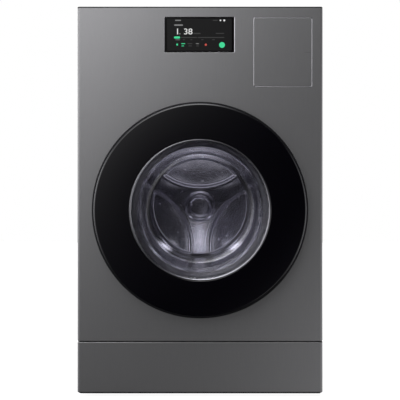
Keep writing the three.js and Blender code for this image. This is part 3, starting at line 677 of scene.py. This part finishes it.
def perforations():
    """Dark discs inside the drum's wall and on the ring round its back, where the real sheet is pierced:
    their black is painted shade in place of the holes.
    """
    verts, faces = [], []

    def disc(centre, across, along, radius=1.7, longer=0.0, sides=6):
        start = len(verts)
        for i in range(sides):
            a = 2 * math.pi * (i + 0.5) / sides
            wide, high = radius * math.cos(a), radius * math.sin(a) + math.copysign(longer, math.sin(a))
            verts.append(centre + across * (wide * MM) + along * (high * MM))
        faces.append(tuple(range(start, start + sides)))

    per_row = 144
    for depth in [608 - 10 * row for row in range(43)]:
        if (depth - 600) % 60 in (0, 2, 58, 8, 52):
            continue
        for i in range(per_row):
            a = 2 * math.pi * i / per_row
            if min(abs(math.degrees(a) - lifter) for lifter in LIFTER_ANGLES) < 15:
                continue
            outward = Vector((math.cos(a), 0, math.sin(a)))
            centre = Vector((0, at(depth), AXIS_Z)) + outward * (WALL_RADIUS * MM)
            disc(centre, Vector((-math.sin(a), 0, math.cos(a))), Vector((0, 1, 0)), 2.6)
    for ring, radius in enumerate((221.5, 240)):
        for i in range(per_row):
            a = 2 * math.pi * (i + 0.5 * ring) / per_row
            outward = Vector((math.cos(a), 0, math.sin(a)))
            lift = back_height(radius * math.cos(a), radius * math.sin(a)) + 0.4
            centre = Vector((0, at(BACK - lift), AXIS_Z)) + outward * radius * MM
            disc(centre, Vector((-math.sin(a), 0, math.cos(a))), outward, 2.7, 2.6)
    return piece("drum_perforations", verts, faces)


put(perforations(), HOLE_SHADE, "drum", slot="rubber")


def lifter(name, degrees, node):
    """A baffle with a broad top that carries stepped ribs, tapered at both ends."""
    a = math.radians(degrees)
    out, side = Vector((math.cos(a), 0, math.sin(a))), Vector((-math.sin(a), 0, math.cos(a)))
    half = [(15, 216), (30, 217.2), (38, 219.4), (46, 223.4), (54, 230), (60, 240), (64, 252), (69, 266)]
    section = [(-across, radius) for across, radius in reversed(half)] + [(0, 215.4)] + half
    depths = [172, 173, 176, 182, 190] + [200 + 8 * i for i in range(49)] + [590, 597, 601, 604]
    verts = []
    for depth in depths:
        end = smooth(172, 188, depth) * smooth(604, 588, depth)
        shrink = 0.72 + 0.28 * end
        ribbed = smooth(190, 200, depth) * smooth(590, 580, depth)
        ripple = 1.3 * math.cos(2 * math.pi * (depth - 200) / 48) * ribbed
        for across, radius in section:
            foot = math.sqrt(274.5 ** 2 - across ** 2)
            radial = foot - (foot - radius) * shrink + ripple * smooth(258, 220, radius)
            verts.append(Vector((0, at(depth), AXIS_Z)) + side * (across * MM) + out * (radial * MM))
    wide = len(section)
    faces = bands(len(depths), wide) + [tuple(range(wide)), tuple(range(len(verts) - wide, len(verts)))]
    return put(piece(name, verts, faces, 50), DRUM_STEEL, "drum", node)


for number, degrees in enumerate(LIFTER_ANGLES, 1):
    lifter(f"lifter_{number}_shell", degrees, f"drum_lifter_{number}")

# ---------------- sides and base
SKIN_TOP = PANEL[1] / MM - 0.2


def side_relief(u, v):
    """A shallow field pressed into the side, with a second step inside it."""
    return -pad(u, v, 60, 742, 70, 1034, 26, 1.4, 11) - pad(u, v, 96, 706, 106, 998, 20, 0.9, 9)


for side, sign in (("left", -1), ("right", 1)):
    sheet = pressed_sheet(f"side_skin_{side}_sheet", (23, 798.4), (13.2, SKIN_TOP), side_relief,
                          lambda u, v, w: (sign * (HALF + w * MM), at(u), v * MM))
    inner, outer = HALF - 12 * MM, HALF - 0.6 * MM
    low, high = min(sign * inner, sign * outer), max(sign * inner, sign * outer)
    folds = [block("fold", (low, at(a), 13.4 * MM), (high, at(b), SKIN_TOP * MM), 0.3, 1)
             for a, b in ((23, 24.2), (797.2, 798.4))]
    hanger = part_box(f"tub_spring_{side}")
    middle_y = (hanger[0].y + hanger[1].y) / 2
    edges = sorted((sign * (HALF - 2.6 * MM), sign * 0.286))
    bracket = block("bracket", (edges[0], middle_y - 0.018, 0.990), (edges[1], middle_y + 0.018, 1.002), 1.5)
    put(merged(f"side_skin_{side}", [sheet, *folds, bracket]), GRAPHITE, instead_of=f"side_panel_{side}")


def base_relief(u, v):
    cross = sum(pad(u, v, -250, 250, mid - 22, mid + 22, 20, 5) for mid in (200, 330, 460, 590))
    return cross + pad(u, v, -318, -262, 120, 680, 20, 4) + pad(u, v, 262, 318, 120, 680, 20, 4)


floor_sheet = pressed_sheet("base_sheet", (-330.6, 330.6), (2, 797.8), base_relief,
                            lambda u, v, w: (u * MM, at(v), (14.5 + w) * MM), 1.5, 8)
walls = [block("wall", (x0, at(depth), 0.0135), (x1, at(797.8), 0.05), 0.3, 1)
         for x0, x1, depth in ((-0.3306, -0.3291, 24), (0.3291, 0.3306, 24), (-0.3306, 0.3306, 796.3))]
put(merged("base_tray", [floor_sheet, *walls]), ZINC, instead_of="base_pan")

foot_profile = [(0, 0), (16.6, 0), (18.4, 0.5), (19.6, 1.8), (20, 3), (19.2, 3.6), (19.2, 4.2), (20, 4.8),
                (20, 6.6), (18.4, 8.4), (15, 10.4), (12.5, 11.6), (10.5, 12.2), (0, 12.2)]
for place, depth in (("front", 75), ("rear", 725)):
    for side, x in (("left", -0.290), ("right", 0.290)):
        body = f"foot_{place}_{side}"
        put(stood(f"{body}_pad", foot_profile, 48, x, depth), FOOT_RUBBER, body, body)
        stem = stood("stem", [(0, 12), *thread(5, 12, 31.4, 1.6, 0.6), (4, 32), (0, 32)], 24, x, depth)
        nut_profile = [(0, 15), (9.4, 15), (9.8, 15.6), (9.8, 20.4), (9.4, 21), (0, 21)]
        nut = stood("nut", nut_profile, 6, x, depth, sharp=20)
        put(merged(f"{body}_screw", [stem, nut]), BOLT_STEEL, body, slot="zinc_steel")

# ---------------- back
REAR_DEPTH = 800
CUT_FROM, CUT_TO = 790, 812
CORD_Z, INLET_Z = 0.985, 1.0
DRAIN_X, DRAIN_Z = -0.280, 0.200
VENTS = [930 + 16 * i for i in range(6)]
CENTRE = AXIS_Z / MM


def rear_relief(u, v):
    """Pressed ribs: a raised ring round the service cover and raised fields above and below it."""
    radius = math.hypot(u, v - CENTRE)
    ring = 3.2 * smooth(168, 176, radius) * smooth(206, 198, radius)
    spokes = 0.0
    for degrees in (45, 135, 225, 315):
        c, s = round_point(degrees)
        along, across = u * c + (v - CENTRE) * s, (v - CENTRE) * c - u * s
        inside = smooth(196, 204, along) * smooth(318, 308, along)
        spokes = max(spokes, 3.2 * inside * smooth(16, 8, abs(across)))
    fields = pad(u, v, -236, 236, 60, 160, 22, 3) + pad(u, v, -236, 196, 800, 900, 22, 3)
    edge = pad(u, v, -322, -302, 60, 1040, 9, 2.4, 6) + pad(u, v, 302, 322, 60, 1040, 9, 2.4, 6)
    return max(ring, spokes) + fields + edge


def behind(u, v, w):
    """A place on the back, from millimetres across, up and out of it."""
    return -u * MM, at(REAR_DEPTH + w), v * MM


def round_cutter(radius, x, z):
    """A cutter for a round hole in the rear panel."""
    bore = [(0, CUT_FROM), (radius, CUT_FROM), (radius, CUT_TO), (0, CUT_TO)]
    return turned("cutter", bore, 48, x, z, closed=False)


rear = cut(
    pressed_sheet("rear_skin", (-342.8, 342.8), (16, SKIN_TOP), rear_relief, behind, step=6.0),
    round_cutter(149, 0, AXIS_Z), round_cutter(10.5, DRAIN_X, CORD_Z), round_cutter(12, DRAIN_X, DRAIN_Z),
    block("cutter", (0.212, at(CUT_FROM), 0.984), (0.288, at(CUT_TO), 1.016), 1),
    merged("cutter", [block("slot", (-0.110, at(CUT_FROM), z * MM), (0.090, at(CUT_TO), (z + 6) * MM), 0.5)
                      for z in VENTS]),
)
put(rear, ZINC, instead_of="rear_panel")


def hood(z):
    """A half-round louvre over a slot, open below."""
    arc = [(3.6 * c, 7.5 + 2.8 * s) for c, s in map(round_point, range(90, -1, -15))]
    line = [(0.0, 10.3), *arc[1:], (3.0, 3.0)]
    inner = [(w - 0.7, v - 0.5) for w, v in reversed(line)]
    outline = [(-0.3, 10.3), *line, *inner]
    count = len(outline)
    verts = [(x * MM, at(800.2 + max(-0.6, w)), (z + v) * MM) for x in (-113, 93) for w, v in outline]
    faces = [tuple(range(count)), tuple(range(2 * count - 1, count - 1, -1))]
    faces += [(i, (i + 1) % count, count + (i + 1) % count, count + i) for i in range(count)]
    return piece("hood", verts, faces)


put(merged("rear_louvres", [hood(z) for z in VENTS]), ZINC, slot="zinc_steel")
cover = [(0, 805.4), (26, 805.4), (30, 807), (46, 807), (50, 805.2), (58, 804.4), (66, 805.2), (70, 807),
         (104, 807), (108, 805.2), (116, 804.6), (124, 805.2), (128, 807), (149, 807), (152, 806.2),
         (163, 801.2), (164, 800.6), (163.4, 800), (151, 805.6), (0, 804)]
put(turned("service_cover_dish", cover, 120, closed=False), ZINC, instead_of="rear_service_cover")
rim_screws = [(*round_point(a, 0.139, z=AXIS_Z), 807) for a in range(0, 360, 45)]
edge_screws = [(x * MM, z * MM, 802.4) for x in (-312, 312) for z in (75, 262, 448, 634, 820, 1024)]
top_screws = [(x * MM, 1.074, 800) for x in (-200, 0, 170)]
put(bolts("rear_screws", rim_screws + edge_screws + top_screws, 3.6), BOLT_STEEL, slot="zinc_steel")

ports = []
for x, water, material in ((0.230, "hot", RED_PLASTIC), (0.270, "cold", BLUE_PLASTIC)):
    barrel = [(0, 790), (11, 790), (11, 803), (12.2, 804.5), *thread(13.1, 805, 823.4, 2.3, 1.1),
              (12.4, 824.6), (9.6, 824.8),
              (9, 824), (9, 808), (0, 808)]
    ports.append(turned("port", barrel, 48, x, INLET_Z, closed=False))
    collar = [(13.3, 800.2), (15.4, 800.2), (15.8, 800.8), (15.8, 803.2), (15.4, 803.8), (13.3, 803.8)]
    put(turned(f"inlet_collar_{water}", collar, 40, x, INLET_Z), material, slot="blue_plastic")
    strainer = [(0, 817), (2, 816), (4, 818), (6, 816), (8.9, 818), (8.9, 820), (6, 818), (4, 820),
                (2, 818), (0, 819)]
    put(turned(f"inlet_filter_{water}", strainer, 24, x, INLET_Z, closed=False), GREY_PLASTIC,
        slot="grey_plastic")
ports.append(block("body", (0.214, at(762), 0.986), (0.286, at(797), 1.014), 2, 3))
ports.append(block("plate", (0.2125, at(796.5), 0.9845), (0.2875, at(801.2), 1.0155), 1.2, 3))
put(merged("inlet_valve_body", ports), LIGHT_PLASTIC, instead_of="inlet_valve")

gland = [(4, 790), (12, 790), (13.4, 791.4), (13.4, 797.4), (10, 797.6), (10, 801.4), (14, 801.6),
         (14, 804.4), (12.6, 805), (12.8, 806.6), (11.2, 807.2), (11.4, 808.8), (9.9, 809.4), (10.1, 811),
         (8.6, 811.6), (8.4, 813.6), (7.4, 814), (4.6, 814), (4, 813.2)]
put(turned("cord_gland_boot", gland, 40, DRAIN_X, CORD_Z), BLACK_PLASTIC, instead_of="cord_gland")

drain_route = [(-290, 160, 130.5), (-290, 160, 146), (-322, 230, 162), (-325, 400, 164), (-323, 640, 172),
               (-296, 740, 192), (-280, 790, 200), (-280, 806, 200)]
hose = tube("hose", smooth_path([(x * MM, at(d), z * MM) for x, d, z in drain_route], 10), 7.6, 16)
spigot_profile = [(5.4, 800), (8, 800), (8, 806), (7.2, 808), (8, 811), (7.2, 812), (8, 816), (7.2, 817),
                  (7.4, 821), (6.8, 822), (5.4, 822)]
spigot = turned("spigot", spigot_profile, 32, DRAIN_X, DRAIN_Z)
collar = turned("collar", [(8, 800.2), (15, 800.2), (15, 802.6), (12.4, 803.6), (11.6, 806.4),
                           (8, 806.4)], 40, DRAIN_X, DRAIN_Z)
put(merged("drain_hose", [hose, spigot, collar]), FOOT_RUBBER, instead_of="drain_pipe")

# ---------------- lint filter behind its flap
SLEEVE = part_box("lint_filter")
MESH_FOOT, MESH_HEAD = SLEEVE[0].z + 0.012, SLEEVE[1].z - 0.012
window = block("cutter", (SLEEVE[0].x - 0.01, at(34), MESH_FOOT),
               (SLEEVE[1].x + 0.01, at(315), MESH_HEAD), 4, 4)
filter_frame = cut(block("frame", (SLEEVE[0].x, at(24), SLEEVE[0].z), SLEEVE[1], 2.5, 3), window)
grip_box = block("grip", (0.222, at(13), 0.900), (0.240, at(26), 1.026), 5, 5)
finger = block("cutter", (0.200, at(18.6), 0.914), (0.260, at(24), 1.012), 2, 3)
put(merged("lint_filter_frame", [filter_frame, cut(grip_box, finger)]), GREY_PLASTIC,
    instead_of="lint_filter")


def bar(x0, x1, z0, z1, y0, y1):
    return prism("bar", [(x0, z0), (x1, z0), (x1, z1), (x0, z1)], y0, y1)


bars = []
wire = 0.3 * MM
for x in (SLEEVE[0].x + 3 * MM, SLEEVE[1].x - 3.4 * MM):
    for i in range(1, 36):
        y = at(34 + 281 * i / 36)
        bars.append(bar(x, x + 0.4 * MM, MESH_FOOT, MESH_HEAD, y - wire, y + wire))
    for i in range(1, 21):
        z = MESH_FOOT + 0.160 * i / 21
        bars.append(bar(x - 0.1 * MM, x + 0.5 * MM, z - wire, z + wire, at(34), at(315)))
put(merged("lint_filter_mesh", bars), BOLT_STEEL, slot="grey_plastic")
arrow = prism("filter_arrow", [(0.262, 1.040), (0.270, 1.047), (0.254, 1.047)], at(23.6), at(24.4))
put(soften(arrow, 0.2), LIGHT_PLASTIC, slot="white_plastic")

# ---------------- dispenser drawer
FILLER_DEPTH = 110
FILLERS = (("detergent", -0.125), ("softener", 0.064))
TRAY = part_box("drawer_tray")
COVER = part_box("tank_cover")
tray = cut(block("drawer_tray_shell", TRAY[0], TRAY[1], 4, 4),
           block("cutter", (TRAY[0].x + 2.5 * MM, at(25), TRAY[0].z + 2.5 * MM),
                 (0.150, at(369.5), 0.130), 3, 3),
           block("cutter", (0.1525, at(25), TRAY[0].z + 2.5 * MM),
                 (TRAY[1].x - 2.5 * MM, at(369.5), 0.130), 8, 5))
put(tray, LIGHT_PLASTIC, "drawer", "drawer_tray")
rails = [block("rail", (x - 0.0025, at(30), 0.062), (x + 0.0025, at(368), 0.074), 0.8)
         for x in (-0.2415, 0.2415)]
put(merged("drawer_rails", rails), BOLT_STEEL, "drawer", slot="zinc_steel")
lid = cut(block("tank_lid", COVER[0], COVER[1], 0.9, 2),
          *[stood("cutter", [(0, 90), (14, 90), (14, 110), (0, 110)], 40, x, FILLER_DEPTH)
            for _, x in FILLERS])
put(lid, LIGHT_PLASTIC, "drawer", "tank_cover")
lid_top = COVER[1].z
fields = []
for x0, x1 in ((-0.224, -0.030), (-0.010, 0.138)):
    line = rounded(x0, x1, at(36), at(360), 9 * MM)
    hole = rounded(x0 + 2 * MM, x1 - 2 * MM, at(38), at(358), 7 * MM)
    ridge = prism("ridge", line, lid_top - 0.2 * MM, lid_top + 1.2 * MM, flat=True)
    hollow = prism("cutter", hole, lid_top - 1 * MM, lid_top + 5 * MM, flat=True)
    fields.append(soften(cut(ridge, hollow), 0.4, 2))
    for i in range(6):
        y = at(190 + 26 * i)
        fields.append(block("rib", (x0 + 0.014, y, lid_top - 0.2 * MM),
                            (x1 - 0.014, y + 0.004, lid_top + 1 * MM), 0.5))
put(merged("tank_lid_ribs", fields), LIGHT_PLASTIC, "drawer", slot="white_plastic")
for name, x in FILLERS:
    body = f"{name}_cap"
    cap_profile = [(0, 101.8), (16.6, 101.8), (17, 102.3), (17, 104.4), (16.4, 105.1), (14.8, 105.6),
                   (13.6, 105.9), (11.6, 105.3), (0, 105)]
    cap = stood("cap", cap_profile, 48, x, FILLER_DEPTH)
    tab = block("tab", (x - 0.006, at(121), 0.1024), (x + 0.006, at(130.5), 0.1050), 1.0, 3)
    pull = block("pull", (x - 0.0035, at(100), 0.1046), (x + 0.0035, at(118), 0.10595), 0.5, 2)
    put(merged(f"{name}_cap_moulding", [cap, tab, pull]), BLUE_PLASTIC, body, body)
    ring = [(14.1, 98.6), (14.1, 101.5), (15, 101.7), (17.8, 101.7), (18.6, 101.3), (18.6, 98.6)]
    put(turned(f"{name}_filler_ring", ring, 48, x, y=at(FILLER_DEPTH), upright=True), GREY_PLASTIC,
        "drawer", slot="grey_plastic")

# ---------------- drain pump's filter cap
CAP_X, CAP_Z = -0.290, 0.072
KNOB_RADIUS = 0.034
lobes = [round_point(a, KNOB_RADIUS * (1 - 0.04 * abs(math.sin(math.radians(a * 5)))), CAP_X, CAP_Z)
         for a in range(0, 360, 4)]
knob = soften(prism("knob", lobes, at(38), at(49.2)), 1.2, 3, 50)
grip_bar = block("grip", (CAP_X - 0.004, at(28), CAP_Z - 0.024),
                 (CAP_X + 0.004, at(39), CAP_Z + 0.024), 2.4, 4)
slots = [block("cutter", (CAP_X - across, at(depth), CAP_Z - up),
               (CAP_X + across, at(depth + 8), CAP_Z + up), 1)
         for across, up in ((0.04, 0.008), (0.008, 0.04)) for depth in range(60, 136, 16)]
basket = cut(turned("basket", [(29, 49), (29, 142), (26.4, 142), (26.4, 49)], 48, CAP_X, CAP_Z), *slots)
put(merged("pump_filter_cap", [knob, grip_bar, basket]), BLUE_PLASTIC, "pump_filter", "pump_filter")

# ---------------- fixings of the door
ring_screws = [(*round_point(a, 0.231, z=AXIS_Z), -6.8)
               for a in (22, 50, 78, 102, 130, 230, 258, 282, 310, 338)]
put(bolts("door_ring_screws", ring_screws, 2.6), BOLT_STEEL, "door", slot="stainless")
bracket_screws = [(-0.2475, AXIS_Z + z * MM, -3.2) for z in (-28, -10, 10, 28)]
put(bolts("hinge_screws", bracket_screws, 2.4, way=-1), BOLT_STEEL, slot="stainless")

# ---------------- CAD nodes that keep their shape
for material, nodes in [
    (ZINC, ["hinge_bracket"]),
    (TUB_PLASTIC, ["tub_front", "tub_rear"]),
    (IRON, ["counterweight_upper", "counterweight_lower", "compressor", "motor_rotor"]),
    (BOLT_STEEL, ["drum_bearing", "damper_rod_left", "damper_rod_right"]),
    (COPPER, ["motor_stator"]),
    (CAST_ALUMINIUM, ["drum_spider", "heat_exchanger"]),
    (DARK_TRIM, ["damper_cylinder_left", "damper_cylinder_right"]),
    (GREY_PLASTIC, ["control_box", "door_lock", "drawer_housing", "drain_pump"]),
    (LIGHT_PLASTIC, ["air_duct_case"]),
    (BLUE_PLASTIC, ["dispenser_tank"]),
    (BLACK_PLASTIC, ["blower_wheel", "pump_impeller"]),
]:
    for node in nodes:
        dress(node, material)
dress("sump_hose", FOOT_RUBBER, 0)
for node in ("tub_spring_left", "tub_spring_right"):
    dress(node, BOLT_STEEL, 0)

# ---------------- stage, light and camera
floor = piece("floor", [(-4, -4, 0), (4, -4, 0), (4, 4, 0), (-4, 4, 0)], [(0, 1, 2, 3)])
floor.data.materials.append(finish("floor_white", (0.12, 0.12, 0.12), 0.9, grain=2, tint=0.01, bump=0.0,
                                   Emission_Color=(1, 1, 1, 1), Emission_Strength=0.9))
floor.visible_glossy = False
floor.visible_transmission = False

CAMERA_DISTANCE = 1.2
VIEW_WIDTH = 1.1134
SENSOR = 36
VIEW_HEIGHT = (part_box("top_panel")[1].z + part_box("base_pan")[0].z) / 2
camera_data = bpy.data.cameras.new("camera")
camera_data.sensor_width = SENSOR
camera_data.lens = SENSOR * CAMERA_DISTANCE / VIEW_WIDTH
camera = placed("camera", camera_data)
camera.location = (0, FRONT - CAMERA_DISTANCE, VIEW_HEIGHT)
camera.rotation_euler = (math.radians(90), 0, 0)
bpy.context.scene.camera = camera


def area_light(name, place, target, size, power, glossy=False):
    """A rectangular lamp that the camera doesn't see. Metres and watts."""
    data = bpy.data.lights.new(name, "AREA")
    data.shape = "RECTANGLE"
    data.size, data.size_y = size
    data.energy = power
    light = placed(name, data)
    light.location = place
    light.rotation_euler = (Vector(target) - Vector(place)).to_track_quat("-Z", "Y").to_euler()
    light.visible_camera = False
    light.visible_glossy = glossy
    light.visible_transmission = False


middle = (0, FRONT, 0.55)
area_light("key", (-1.6, -3.0, 2.3), middle, (1.6, 1.6), 9.2)
area_light("fill", (1.9, -2.8, 1.2), middle, (1.6, 1.6), 7.4)
area_light("overhead", (0, 0, 3.0), (0, 0, 0.5), (2.5, 2.5), 32)
for name, place, target, size, power in (
    ("drum_top", (0, 500, 240), (0, 640, 150), (0.30, 0.08), 0.06),
    ("drum_foot", (0, 420, -190), (0, 640, -100), (0.14, 0.08), 0.04),
    ("drum_ring_top", (0, 560, 262), (0, 640, 225), (0.26, 0.03), 0.05),
    ("drum_ring_low", (-180, 560, -186), (-158.4, 640, -165), (0.10, 0.03), 0.035),
    ("drum_ring_low", (180, 560, -186), (158.4, 640, -165), (0.10, 0.03), 0.035),
    ("drum_lip", (0, 176, -170), (0, 230, -220), (0.10, 0.03), 0.06),
    ("drum_ceiling", (0, 420, 130), (0, 460, 270), (0.30, 0.2), 0.16),
    ("drum_floor", (-70, 430, -80), (-182, 470, -200), (0.1, 0.2), 0.12),
    ("drum_floor", (70, 430, -80), (182, 470, -200), (0.1, 0.2), 0.12),
):
    spots = [(x * MM, at(depth), AXIS_Z + up * MM) for x, depth, up in (place, target)]
    area_light(name, *spots, size, power, glossy=True)


def world_light():
    """White behind the object, and otherwise a soft gradient that is brightest up and to the left."""
    world = bpy.data.worlds.new("studio")
    bpy.context.scene.world = world
    world.use_nodes = True
    nodes, links = world.node_tree.nodes, world.node_tree.links
    nodes.clear()

    def calc(operation, first, second=None, clamp=False):
        node = nodes.new("ShaderNodeMath")
        node.operation = operation
        node.use_clamp = clamp
        for socket, value in zip(node.inputs, (first, second)):
            if value is None:
                continue
            if isinstance(value, (int, float)):
                socket.default_value = value
            else:
                links.new(value, socket)
        return node.outputs[0]

    def times(first, second, clamp=False):
        return calc("MULTIPLY", first, second, clamp)

    upper_width, upper_level, upper_cap = 0.125, 0.101, 7.5
    lower_width, lower_level, lower_cap = -0.075, 0.0024, 3.0
    direction = nodes.new("ShaderNodeSeparateXYZ")
    links.new(nodes.new("ShaderNodeTexCoord").outputs["Generated"], direction.inputs[0])
    x, z = direction.outputs["X"], direction.outputs["Z"]
    slope = calc("ADD", times(x, -0.8), times(z, 0.64))
    upper = times(calc("EXPONENT", calc("DIVIDE", slope, upper_width)), upper_level)
    lower = times(calc("EXPONENT", calc("DIVIDE", slope, lower_width)), lower_level)
    level = times(calc("SUBTRACT", 0.62, calc("ABSOLUTE", z)), 5.0, clamp=True)
    lower = times(lower, level)
    glow = calc("ADD", calc("MINIMUM", upper, upper_cap), calc("MINIMUM", lower, lower_cap))
    ahead = calc("SUBTRACT", 1.0, times(x, x))
    glow = times(glow, times(ahead, ahead))
    left = calc("ADD", times(x, -0.4), 0.23)
    strip = calc("ADD", times(z, left), calc("ADD", times(x, -0.08), 0.28))
    side = times(calc("POWER", calc("ABSOLUTE", x), 6.0), times(calc("MAXIMUM", strip, 0.0), 11.0))
    side = times(side, level)
    total = calc("ADD", glow, side)
    soft = nodes.new("ShaderNodeBackground")
    soft.inputs["Color"].default_value = (0.985, 0.98, 1.0, 1)
    links.new(total, soft.inputs["Strength"])
    white = nodes.new("ShaderNodeBackground")
    white.inputs["Color"].default_value = (1, 1, 1, 1)
    mix = nodes.new("ShaderNodeMixShader")
    links.new(nodes.new("ShaderNodeLightPath").outputs["Is Camera Ray"], mix.inputs[0])
    links.new(soft.outputs[0], mix.inputs[1])
    links.new(white.outputs[0], mix.inputs[2])
    links.new(mix.outputs[0], nodes.new("ShaderNodeOutputWorld").inputs["Surface"])


world_light()
bpy.context.scene.view_settings.view_transform = "Standard"
